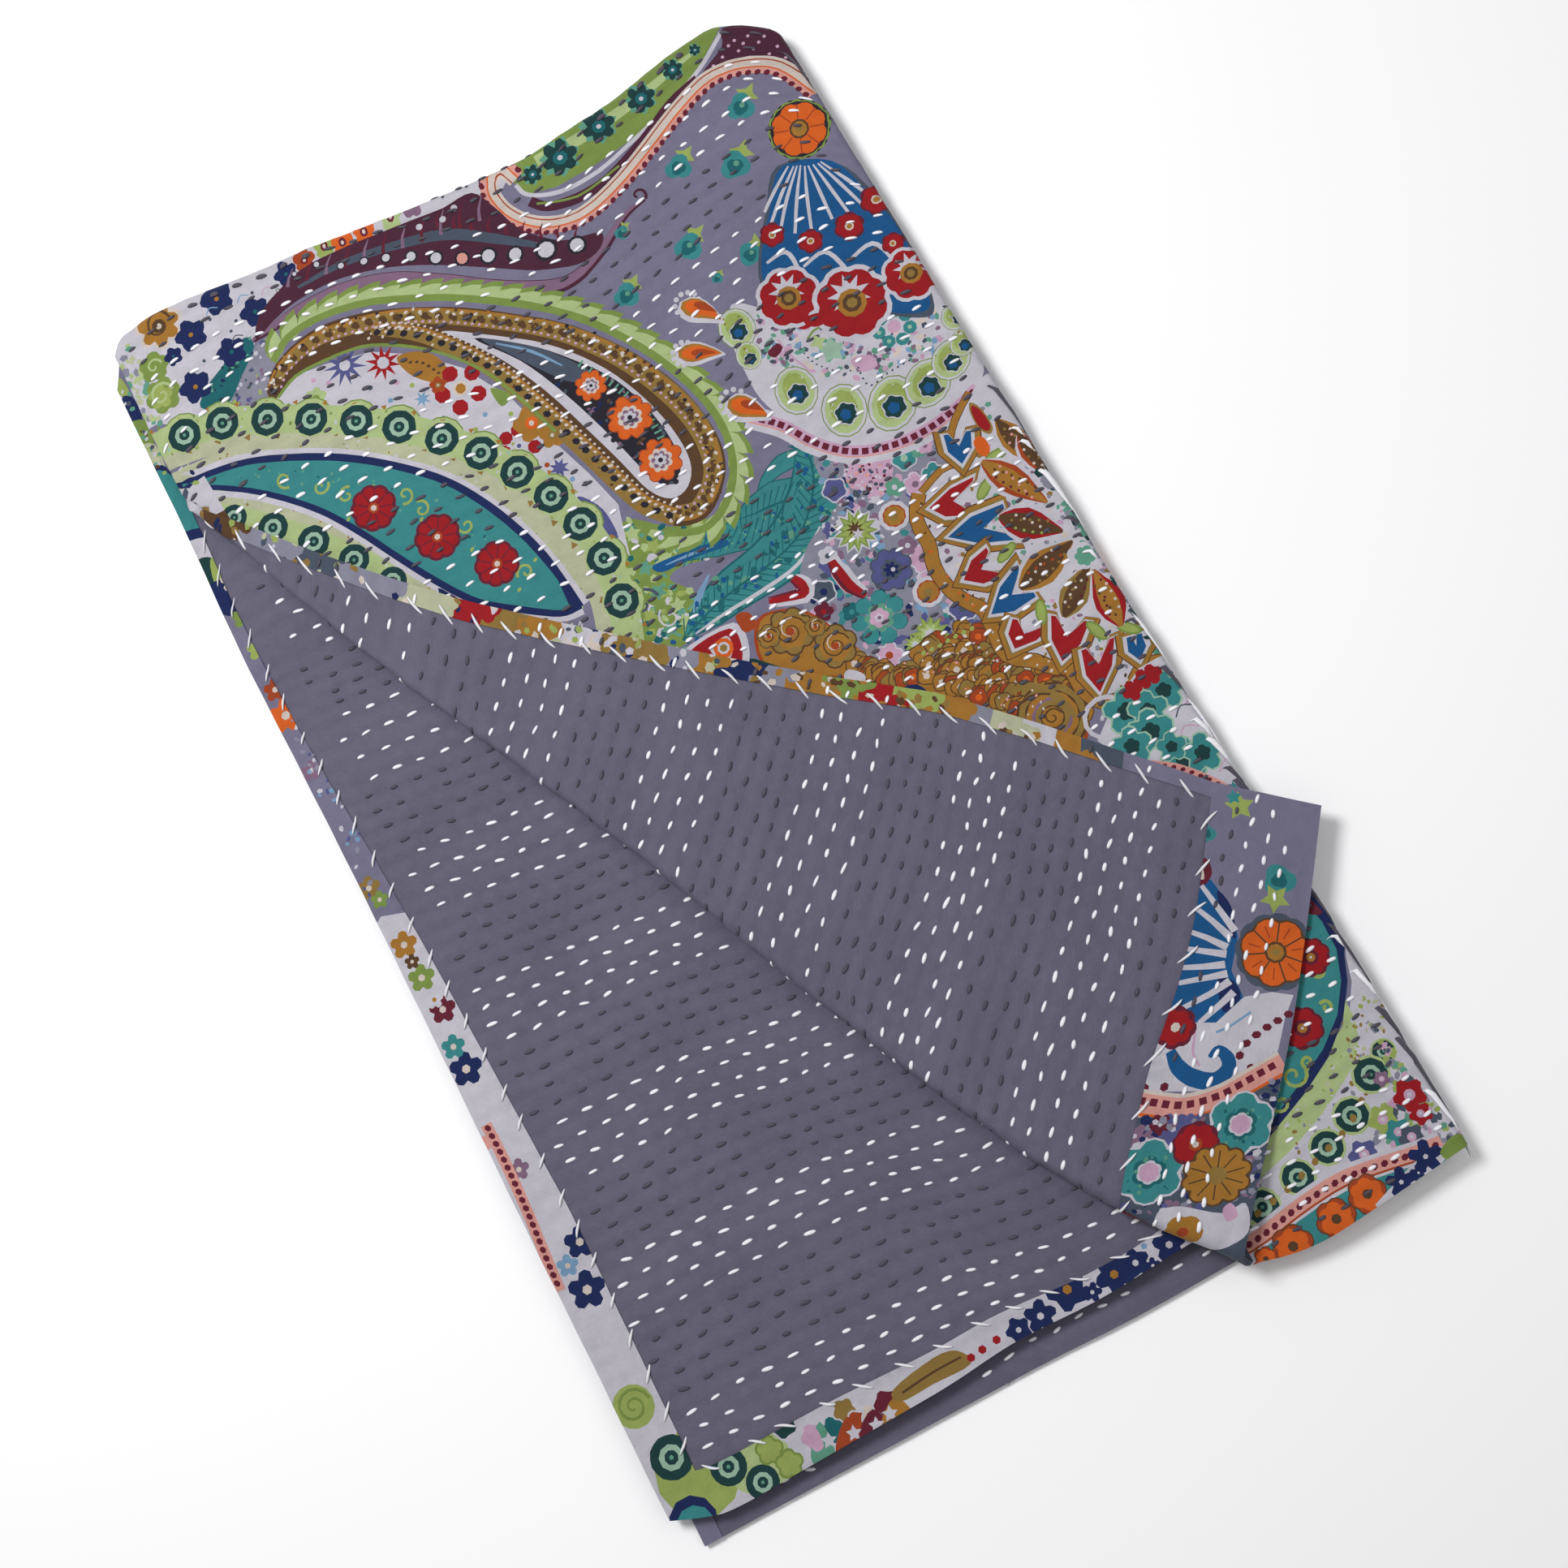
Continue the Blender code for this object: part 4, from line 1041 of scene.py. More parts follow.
def drawTealFeather():
    blob("leaf", mmPairs(1, 148, 25, 130, 51, 121, 60, 109, 55, 97, 37, 98, 20, 103, 9, 99, 19, 84, 17, 70, 0, 58,
        -20, 61, -31, 74, -39, 93, -29, 125))
    sprinkle(("lime", "paleLime", "seaGreen", "white", "deepTeal"), mmPairs(1, 148, 25, 130, 51, 121, 60, 109, 55,
        97, 37, 98, 20, 103, 9, 99, 19, 84, 17, 70, 0, 58, -20, 61, -31, 74, -39, 93, -29, 125), 150, 3.2)
    for k, (x, y) in enumerate(mmPairs(2, 138, 10, 124, 25, 123, 40, 121, 47, 112, -1, 114, 13, 112, -14, 107, -1,
            96, 6, 82, -13, 85, -6, 71, -28, 81, -29, 100, -17, 124, 6, 70)):
        star(("paleLime", "lime", "seaGreen")[k % 3], x, y, 6.0, 5, 0.5, 0.7 * k)
    swirl("slate", -13, 94, 11, 1.0, 2.2)
    swirl("white", -2, 78, 8, 1.0, 1.4, 2.0)
    body = mmPairs(124, 140, 121, 117, 110, 98, 93, 83, 69, 76, 43, 73, 21, 68, 2, 62)
    for path, width in (
        (mmPairs(120, 127, 106, 129, 92, 125, 84, 120), [9, 11, 6, 0.5]), (mmPairs(111, 110, 92, 115, 74, 114, 57,
            108), [10, 14, 9, 0.5]),
        (mmPairs(96, 100, 70, 100, 44, 106, 19, 108), [12, 20, 18, 1]), (mmPairs(122, 109, 116, 94, 107, 81, 93,
            71), [6, 9, 8, 1]),
    ):
        ribbon("deepTeal", path, np.array(width) + 1.6, 4)
        ribbon("teal", path, width, 4)
    ribbon("deepTeal", body, [6, 26, 34, 38, 34, 30, 24, 4], 5)
    ribbon("teal", body, [5, 24, 31, 35, 31, 27, 21, 3], 5)
    ribbon("sky", mmPairs(32, 89, 20, 80, 11, 71), [1, 5, 1], 4)
    strew(("deepTeal", "seaGreen", "deepTeal", "blue"), body, 12, 120, 2.6)
    strew(("deepTeal", "blue", "seaGreen"), mmPairs(93, 100, 69, 100, 44, 105, 23, 108), 7, 60, 1.6)
    blob("blue", mmPairs(4, 113, 27, 110, 50, 105, 50, 100, 27, 104, 7, 106))
    ribbon("sky", mmPairs(11, 109, 28, 107, 43, 104), [0.6, 2.2, 0.6], 3)
    ribbon("deepTeal", body, 1.3, 5)
    for shift in (5.0, -5.0):
        ticks("deepTeal", body, 9.0, 1.2, 5.4, shift, -0.9 if shift > 0 else 0.9)
    ticks("deepTeal", mmPairs(93, 100, 69, 100, 44, 105, 23, 108), 13.0, 1.2, 5.0, 0, 0.8)
    ticks("deepTeal", mmPairs(109, 110, 91, 113, 73, 112, 61, 109), 9.0, 1.1, 4.6, 0, 0.8)
    ribbon("white", mmPairs(107, 81, 84, 67, 55, 63, 31, 62, 7, 60), [1, 2.2, 2.6, 2.2, 1], 4)


def drawCluster():
    blob("grey", mmPairs(125, 123, 144, 122, 168, 102, 195, 97, 223, 104, 224, 85, 200, 75, 176, 65, 163, 29, 167,
        -12, 175, -38, 153, -37, 116, -26, 87, -5, 74, 21, 76, 51, 94, 74, 117, 84, 122, 103))
    sprinkle(("violet", "slate", "mauve", "petalPink", "sky", "teal", "navy", "white", "violet"), mmPairs(129, 118,
        166, 100, 203, 90, 176, 69, 160, 32, 170, -19, 153, -27, 115, -18, 74, 19, 77, 45, 100, 63), 330, 3.4)
    blob("petalPink", mmPairs(139, 108, 153, 107, 166, 97, 159, 83, 148, 78, 142, 87, 135, 94))
    sprinkle(("white", "mauve", "slate", "pink", "white", "wine"), mmPairs(139, 108, 153, 107, 166, 97, 159, 83,
        148, 78, 142, 87, 135, 94), 90, 1.5)
    for (x, y), size, ink, centre in (
        ([(173, 92)][0], 8, "teal", "mint"), ([(184, 74)][0], 7.5, "teal", "sky"), ([(183, 92)][0], 5, "seaGreen",
            "white"),
        ([(171, 74)][0], 7.5, "petalPink", "mauve"), ([(159, 79)][0], 6, "seaGreen", "white"), ([(188, 92)][0], 5,
            "petalPink", "mauve"),
        ([(126, 97)][0], 8, "violet", "slate"), ([(89, 43)][0], 8, "slate", "navy"), ([(158, -10)][0], 9, "violet",
            "slate"),
        ([(152, 30)][0], 9, "petalPink", "mauve"), ([(148, 42)][0], 6, "mauve", "white"), ([(105, -13)][0], 8.5,
            "petalPink", "rust"),
        ([(90, -8)][0], 5, "white", "mauve"), ([(102, 62)][0], 6, "white", "slate"), ([(98, 23)][0], 6, "deepTeal",
            "teal"),
        ([(83, 32)][0], 6, "wine", "red"), ([(166, 24)][0], 7, "wine", "brown"), ([(131, 56)][0], 5, "sky", "white"),
    ):
        petals("white" if size > 6.5 else ink, x, y, size * 1.08, 5, 0.3, size)
        petals(ink, x, y, size * 0.96, 5, 0.36, size)
        disc(centre, x, y, size * 0.3, 7)
    x, y = [(125, 67)][0]
    star("white", x, y, 15.5, 13, 0.72)
    star("leaf", x, y, 14, 13, 0.62)
    star("lime", x, y, 12.5, 13, 0.5)
    star("brown", x, y + 1.5, 6.5, 9, 0.4)
    star("white", x, y - 2.5, 4.5, 6, 0.4)
    for x, y in [(150, 63), (145, 10)]:
        petals("white", x, y, 10, 10, 0.05)
        petals("rust", x, y, 7.4, 10, 0.06)
        petals("ochre", x, y, 6.6, 8, 0.1)
        disc("gold", x - 0.5, y - 0.5, 3.0, 8)
    x, y = [(132, 34)][0]
    petals("slate", x, y, 14, 8, 0.16)
    petals("violet", x, y, 13, 8, 0.2)
    petals("slate", x, y, 7, 8, 0.2)
    petals("navy", x, y, 5, 7, 0.4)
    disc("white", x + 1, y - 0.5, 1.5, 6)
    for path in (mmPairs(104, 58, 104, 50, 106, 38, 112, 29), mmPairs(78, 61, 80, 54, 77, 48, 56, 53)):
        ribbon("white", path, [4, 12, 12, 4], 4)
        ribbon("red", path, [5, 8, 8, 3], 4, -1.5)
        ribbon("wine", path, [1, 2, 2, 1], 4, -4)
    x, y = [(111, 11)][0]
    dotFlower(x, y, 18.5, "deepTeal", "petalPink", 7, 0.2)
    dotFlower(x, y, 18, "teal", "petalPink", 7, 0.2)
    petals("seaGreen", x, y, 9.5, 7, 0.25)
    petals("petalPink", x, y, 6.5, 6, 0.2)
    petals("white", x, y, 3.0, 5, 0.3)
    disc("mauve", x, y, 1.4, 6)
    for (x, y), size in (([(133, -14)][0], 12), ([(122, -15)][0], 7)):
        star("leaf", x, y, size * 1.06, 12, 0.6)
        star("lime", x, y, size, 12, 0.5)
        star("paleLime", x, y, size * 0.6, 9, 0.6)
        petals("white", x, y, size * 0.3, 6, 0.3)
    beads("white", mmPairs(143, 77, 136, 85, 121, 86, 112, 75, 105, 69), 1.2, 5)


def drawGold():
    blob("rust", mmPairs(44, 48, 66, 44, 79, 30, 90, 2, 101, -21, 120, -29, 147, -22, 174, -26, 179, -47, 186, -75,
        192, -95, 186, -115, 171, -122, 152, -96, 134, -71, 115, -48, 94, -33, 76, -13, 54, 0, 34, 22))
    blob("ochre", mmPairs(46, 46, 65, 43, 78, 29, 90, 1, 101, -22, 119, -30, 146, -23, 173, -27, 177, -47, 185, -75,
        190, -96, 184, -114, 171, -119, 153, -94, 135, -69, 116, -47, 95, -31, 77, -12, 55, 2, 36, 23))
    area = curveThrough(mmPairs(82, 1, 94, -15, 112, -23, 127, -19, 149, -18, 160, -27, 163, -42, 171, -57, 188,
        -72, 195, -87, 188, -106, 171, -111, 159, -86, 135, -59, 117, -38, 93, -26, 79, -11), 3, True)
    low, high = area.min(axis=0), area.max(axis=0)
    spots = low + (high - low) * dice.random((900, 2))
    spots = spots[insideOf(area, spots)][:170]
    for k, spot in enumerate(spots[np.argsort(-spots[:, 1])]):  # overlapping scales
        turn = dice.uniform(0, 3)
        petals("brown", *spot, 6.4, 4, 0.2, turn)
        petals(("gold", "ochre", "ochre", "rust")[k % 4], *spot, 5.7, 4, 0.24, turn)
        petals(("ochre", "cream", "gold", "orange")[k % 4], *spot, 2.2, 4, 0.24, turn)
    for (x, y), size, count in (([(59, 31)][0], 16, 7), ([(79, 9)][0], 14.5, 6), ([(46, 35)][0], 8, 5), ([(74,
            26)][0], 7, 5)):
        petals("brown", x, y, size, count, 0.16)
        petals("gold", x, y, size * 0.93, count, 0.2)
        petals("ochre", x, y, size * 0.72, count, 0.22, 0.4)
        swirl("brown", x, y, size * 0.66, 1.6, 1.1)
        swirl("cream", x + 1, y + 1, size * 0.5, 0.9, 0.8, 1.0)
        disc("rust", x, y, size * 0.18, 7)
    x, y = [(172, -96)][0]
    for size, ink in ((22, "brown"), (21, "gold"), (17, "brown"), (16, "ochre"), (12.4, "mauve"), (10.6, "gold"),
            (7.6, "brown"), (6.6, "ochre")):
        petals(ink, x, y, size, 9, 0.07, size)
    swirl("brown", x, y, 6, 1.2, 1.2)
    ribbon("gold", mmPairs(157, -70, 167, -71, 176, -79, 182, -91, 184, -103), [3, 5, 6, 5, 3], 4)
    ribbon("brown", mmPairs(156, -80, 168, -78, 178, -83), 1.4, 4)
    for path in (mmPairs(121, -22, 134, -23, 146, -23, 159, -24), mmPairs(163, -33, 166, -42, 166, -55)):
        beads("lime", path, 1.8, 5.5)
        beads("gold", path, 1.4, 5.5, 3)
    sprinkle(("cream", "pink", "white"), mmPairs(88, -3, 113, -22, 150, -25, 164, -47, 181, -84, 161, -90, 134, -61,
        108, -30), 40, 1.1)
    blob("navy", mmPairs(101, -35, 110, -37, 114, -44, 110, -47, 101, -42))
    blob("white", mmPairs(79, -8, 86, -16, 82, -20, 74, -12))
    blob("white", mmPairs(116, -46, 122, -53, 118, -56, 113, -50))
    blob("bottle", mmPairs(29, 29, 40, 18, 51, 4, 39, 5, 27, 20))
    ribbon("red", mmPairs(32, 20, 42, 10, 53, -2), 3.0, 3)
    blob("white", mmPairs(-6, 54, 31, 54, 32, 35, 20, 22, 4, 39))
    blob("red", mmPairs(-1, 52, 27, 52, 28, 37, 19, 27, 7, 41))
    blob("white", mmPairs(10, 46, 23, 49, 23, 40, 16, 35))
    disc("orange", 18, 43, 6.5, 9)
    disc("white", 18, 43, 4, 8)
    disc("gold", 18, 43, 2.6, 6)
    blob("ochre", mmPairs(-33, 76, -25, 68, -18, 58, -29, 55, -37, 68))
    blob("rust", mmPairs(34, 57, 42, 55, 43, 45, 34, 45))
    blob("ochre", mmPairs(17, 24, 29, 14, 20, 13))


def swallow(ink, tip, wing, other, grow=0.0):  # an arrowhead petal with its notch to the middle
    tip, wing, other = (np.array(p, float) for p in (tip, wing, other))
    middle = (wing + other) / 2
    along = (middle - tip) / np.linalg.norm(middle - tip)
    across = (wing - other) / np.linalg.norm(wing - other)
    notch = tip + (middle - tip) * 0.58 - along * grow * 0.3
    one = tip + (wing - tip) * 0.45 + across * (3.5 + grow)
    two = tip + (other - tip) * 0.45 - across * (3.5 + grow)
    fill(ink, [
        tip - along * grow * 1.3, one, wing + across * grow + along * grow * 0.5,
        wing - across * 3 + along * grow * 0.4, notch, other + across * 3 + along * grow * 0.4,
        other - across * grow + along * grow * 0.5, two,
    ])


def middleOf(points, size):  # the same outline drawn in towards its middle
    points = np.array(points, float)
    return points.mean(axis=0) + size * (points - points.mean(axis=0))


def dotPetal(outer, inner, half, edge, ink, dots):  # a pointed petal filled with seeds
    outer, inner = np.array(outer, float), np.array(inner, float)
    line = outer + (inner - outer) * np.linspace(0, 1, 6)[:, None]
    shape = np.array([0.15, 0.75, 1.0, 0.86, 0.5, 0.08])
    for name, wide in (("white", half * 1.28 + 1.6), (edge, half * 1.05 + 0.6), (ink, half * 0.72)):
        ribbon(name, line, 2 * wide * shape, 3)
    along = (inner - outer) / np.linalg.norm(inner - outer)
    across = np.array((-along[1], along[0]))
    length = np.linalg.norm(inner - outer)
    for k in range(int(length / 2.6)):
        spot = outer + along * (length * 0.2 + k * 1.8) + across * half * 0.5 * math.sin(2.2 * k)
        if (spot - outer) @ along < length * 0.82:
            disc(dots[k % len(dots)], *spot, 1.05, 5)


def drawLotus():
    rim = mmPairs(229, 107, 213, 96, 202, 83, 201, 71, 189, 72, 172, 66, 163, 53, 162, 35, 158, 22, 159, 6, 164, -6,
        171, -17, 170, -30, 169, -48, 182, -59, 189, -68, 198, -74, 198, -90, 204, -101, 217, -104, 229, -96, 241,
        -95, 266, -107, 275, -18, 259, 46, 249, 109)
    blob("white", rim, 3)
    sprinkle(("petalPink", "gold", "seaGreen", "mauve", "grey", "cream"), mmPairs(223, 96, 208, 80, 203, 63, 187,
        67, 173, 56, 167, 42, 164, 12, 172, -16, 176, -41, 194, -65, 203, -88, 220, -98, 253, -99, 265, -35, 259,
        46, 248, 95), 330, 2.2)
    ribbon("brown", rim[5:23], 9.6, 3, -2.4)
    ribbon("ochre", rim[5:23], 8.4, 3, -2.4)
    ribbon("brown", rim[:6], 5.0, 3, -1.5)
    ribbon("ochre", rim[:6], 4.0, 3, -1.5)
    strew(("gold", "brown", "cream", "orange"), rim[5:23], 4, 90, 1.3)
    heads = (
        ("red", mmPairs(171, 56, 204, 59, 189, 40)), ("blue", mmPairs(172, 34, 211, 35, 207, 11)), ("red",
            mmPairs(167, 5, 189, 16, 188, -5)),
        ("blue", mmPairs(171, -22, 200, -3, 200, -26)), ("red", mmPairs(173, -48, 181, -31, 198, -47)), ("red",
            mmPairs(194, -69, 202, -41, 220, -56)),
        ("red", mmPairs(204, -97, 207, -69, 228, -72)), ("blue", mmPairs(234, -92, 234, -76, 243, -78)),
        ("blue", mmPairs(202, 70, 201, 92, 217, 86)),
    )
    for ink, (tip, wing, other) in heads:
        for name, grow in (("brown", 6.8), ("ochre", 6.0), ("gold", 4.0), ("white", 2.3), (ink, 0.0)):
            swallow(name, tip, wing, other, grow)
    for path in (mmPairs(225, 102, 229, 96, 230, 82, 226, 78, 222, 84, 222, 95),):
        blob("gold", path)
        blob("red", middleOf(path, 0.8))
    blob("orange", mmPairs(215, 79, 221, 79, 222, 71, 218, 66, 214, 70))
    for spot, turn in (([(206, 49)][0], 0.1), ([(198, 7)][0], -0.1), ([(198, -36)][0], 0.7), ([(221, -63)][0], 1.4),
            ([(223, 64)][0], -0.5), ([(238, -71)][0], 1.8)):
        disc("leaf", *spot, 8.4, 10, 0.45, turn + 0.5)
        disc("lime", *spot, 7, 10, 0.36, turn + 0.5)
    for outer, inner, half, edge, ink, dots in (
        ([(213, 65)][0], [(235, 22)][0], 8.0, "rust", "ochre", ("brown", "pink", "wine")),
        ([(205, 29)][0], [(234, 1)][0], 9.0, "red", "brown", ("gold", "cream", "lime")),
        ([(194, -17)][0], [(236, -7)][0], 9.5, "ochre", "brown", ("cream", "rust", "gold")),
        ([(208, -46)][0], [(237, -25)][0], 8.0, "gold", "brown", ("gold", "cream", "wine")),
        ([(235, -68)][0], [(238, -29)][0], 8.0, "red", "ochre", ("brown", "wine", "cream")),
        ([(234, 84)][0], [(241, 45)][0], 7.0, "ochre", "brown", ("gold", "pink")),
        ([(241, 69)][0], [(244, 35)][0], 6.0, "rust", "brown", ("cream", "gold")),
    ):
        dotPetal(outer, inner, half, edge, ink, dots)
    strew(("slate", "bottle", "grey", "seaGreen"), mmPairs(243, 37, 246, 15, 248, -11, 248, -38, 248, -65, 247,
        -89), 4, 110, 3.0)
    petals("white", 236, -18, 9, 8, 0.1)
    petals("seaGreen", 238, -19, 6.5, 7, 0.2)


def drawRightEnd():
    fill("white", mmPairs(206, -108, 231, -96, 248, -96, 259, -120, 261, -170, 255, -190, 238, -181, 219, -161, 195,
        -138, 188, -122))
    for k, (x, y) in enumerate(mmPairs(249, -108, 250, -126, 250, -141, 252, -157, 237, -142, 239, -155, 257, -139,
            247, -171, 244, -108, 241, -130)):
        ribbon(("slate", "petalPink", "sky")[k % 3], [(x - 6, y - 3), (x, y + 2), (x + 7, y - 2)], 0.9, 3)
    swirl("white", 198, -114, 16, 1.3, 3.0, 0.5)
    for (x, y), size in (([(237, -115)][0], 12), ([(212, -115)][0], 14), ([(223, -121)][0], 12), ([(218, -133)][0],
            14), ([(204, -135)][0], 12), ([(227, -158)][0], 14), ([(238, -159)][0], 12), ([(224, -147)][0], 9)):
        petals("mint", x, y, size * 1.1, 5, 0.3)
        petals("teal", x, y, size, 5, 0.34)
        petals("bottle", x, y, size * 0.42, 5, 0.2)
    for x, y in mmPairs(221, -106, 230, -103, 236, -103):
        petals("red", x, y, 6.5, 4, 0.3)
    ribbon("pink", mmPairs(208, -150, 222, -161, 236, -179, 245, -198), 5, 4)
    beads("wine", mmPairs(208, -150, 222, -161, 236, -179, 245, -198), 1.7, 5.5)
    blob("teal", mmPairs(240, -185, 245, -193, 240, -196, 235, -190))
    star("lime", 245, -200, 12, 5, 0.5, 0.4)
    star("teal", 242, -190, 8, 5, 0.5)


def drawCorner():
    outer = mmPairs(249, -262, 252, -279, 250, -298, 242, -316, 229, -333, 211, -348, 188, -360, 163, -370, 138, -380)
    fill("white", mmPairs(257, -277, 259, -325, 261, -361, 263, -427, 248, -437, 212, -441, 148, -439, 115, -443,
        97, -429, 113, -397, 138, -380, 188, -370, 224, -346, 244, -317))
    blob("violet", mmPairs(191, -402, 203, -400, 207, -408, 197, -411))
    band = mmPairs(243, -327, 237, -344, 222, -358, 196, -372, 168, -383, 141, -390, 117, -399)
    ribbon("paleLime", band, [2, 8, 17, 18, 18, 18, 16], 5, -9)
    strew(("white", "lime", "white", "gold", "grey", "straw"), band, 14, 190, 1.6)
    ribbon("straw", outer, 8, 5, -6.5)
    ribbon("white", outer, 3, 5, -3.4)
    strew(("grey", "gold", "white"), sidesOf(np.array(outer, float), -7, 7)[0], 3, 60, 1.1)
    for spot, size in (([(239, -360)], 7), ([(226, -368)], 10.5), ([(205, -383)], 10.5), ([(184, -392)], 10),
            ([(161, -399)], 10), ([(135, -404)], 10.5), ([(117, -408)], 8)):
        disc("paleLime", *spot[0], size * 1.08, 12)
        ringDot(*spot[0], size * 0.9)
    beads("gold", mmPairs(216, -372, 198, -384, 176, -391, 152, -398, 130, -402), 2.6, 11, 4)
    fill("navy", mmPairs(243, -255, 249, -262, 252, -279, 250, -298, 242, -316, 229, -333, 211, -348, 188, -360,
        163, -370, 138, -380, 131, -367, 163, -330, 206, -287))
    fill("teal", mmPairs(238, -259, 244, -265, 247, -279, 246, -297, 239, -314, 227, -330, 210, -343, 186, -355,
        163, -365, 146, -371, 142, -363, 167, -332, 202, -294))
    for k, (x, y) in enumerate(mmPairs(188, -348, 174, -358, 224, -323, 231, -303, 199, -345)):
        swirl("lime", x, y, 8 if k < 2 else 4, 1.2, 2.2, 1.1 * k, 1 if k % 2 else -1)
    for spot, size in (([(231, -294)], 11), ([(206, -327)], 12)):
        petals("wine", *spot[0], size * 1.06, 9, 0.1)
        petals("red", *spot[0], size * 0.95, 8, 0.14)
        disc("wine", *spot[0], size * 0.42, 9)
        disc("ochre", *spot[0], size * 0.24, 8)
        disc("white", *spot[0], size * 0.08, 5)
    blob("wine", mmPairs(246, -255, 248, -265, 249, -275, 241, -269))
    sprinkle(("seaGreen", "lime", "grey", "petalPink", "slate"), mmPairs(242, -342, 243, -373, 249, -400, 253, -424,
        235, -417, 210, -407, 216, -389, 232, -381), 120, 3.0)
    for (x, y), size, ink in (([(239, -388)][0], 10, "red"), ([(239, -400)][0], 7, "red"), ([(219, -393)][0], 9,
            "lime"), ([(223, -403)][0], 8, "teal"), ([(228, -409)][0], 8, "slate"), ([(200, -405)][0], 9, "violet"),
            ([(230, -373)][0], 5, "mauve")):
        flower(x, y, size, ink, 5, None, "petalPink", "white", 0.5, 0.5)
    beadPath = mmPairs(109, -420, 130, -418, 154, -414, 181, -412, 205, -415, 227, -419, 241, -420)
    fill("teal", mmPairs(113, -446, 143, -447, 187, -445, 246, -440, 247, -425, 223, -421, 182, -418, 146, -419,
        116, -426))
    ribbon("white", beadPath, 13, 4, 1)
    ribbon("pink", beadPath, 9, 4, 0.5)
    ribbon("rust", beadPath, 1.2, 4, -3.4)
    beads("wine", beadPath, 2.4, 6.0, 0.6)
    for spot, size in (([(190, -425)], 11), ([(168, -429)], 11.5), ([(139, -431)], 12), ([(122, -430)], 7)):
        petals("brown", *spot[0], size * 1.06, 6, 0.14)
        petals("rust", *spot[0], size, 6, 0.16)
        petals("orange", *spot[0], size * 0.86, 6, 0.22, 0.3)
        disc("brown", *spot[0], size * 0.26, 7)
    fill("white", mmPairs(191, -432, 221, -422, 237, -420, 247, -425, 213, -437, 191, -438))
    for x, y, size in ((210, -428, 9), (229, -422, 10), (221, -428, 5)):
        petals("navy", x, y, size, 5, 0.45)
        disc("white", x, y, size * 0.16, 5)
    blob("leaf", mmPairs(237, -424, 250, -419, 253, -429, 243, -434))
    blob("wine", mmPairs(115, -434, 124, -435, 125, -441, 116, -441))


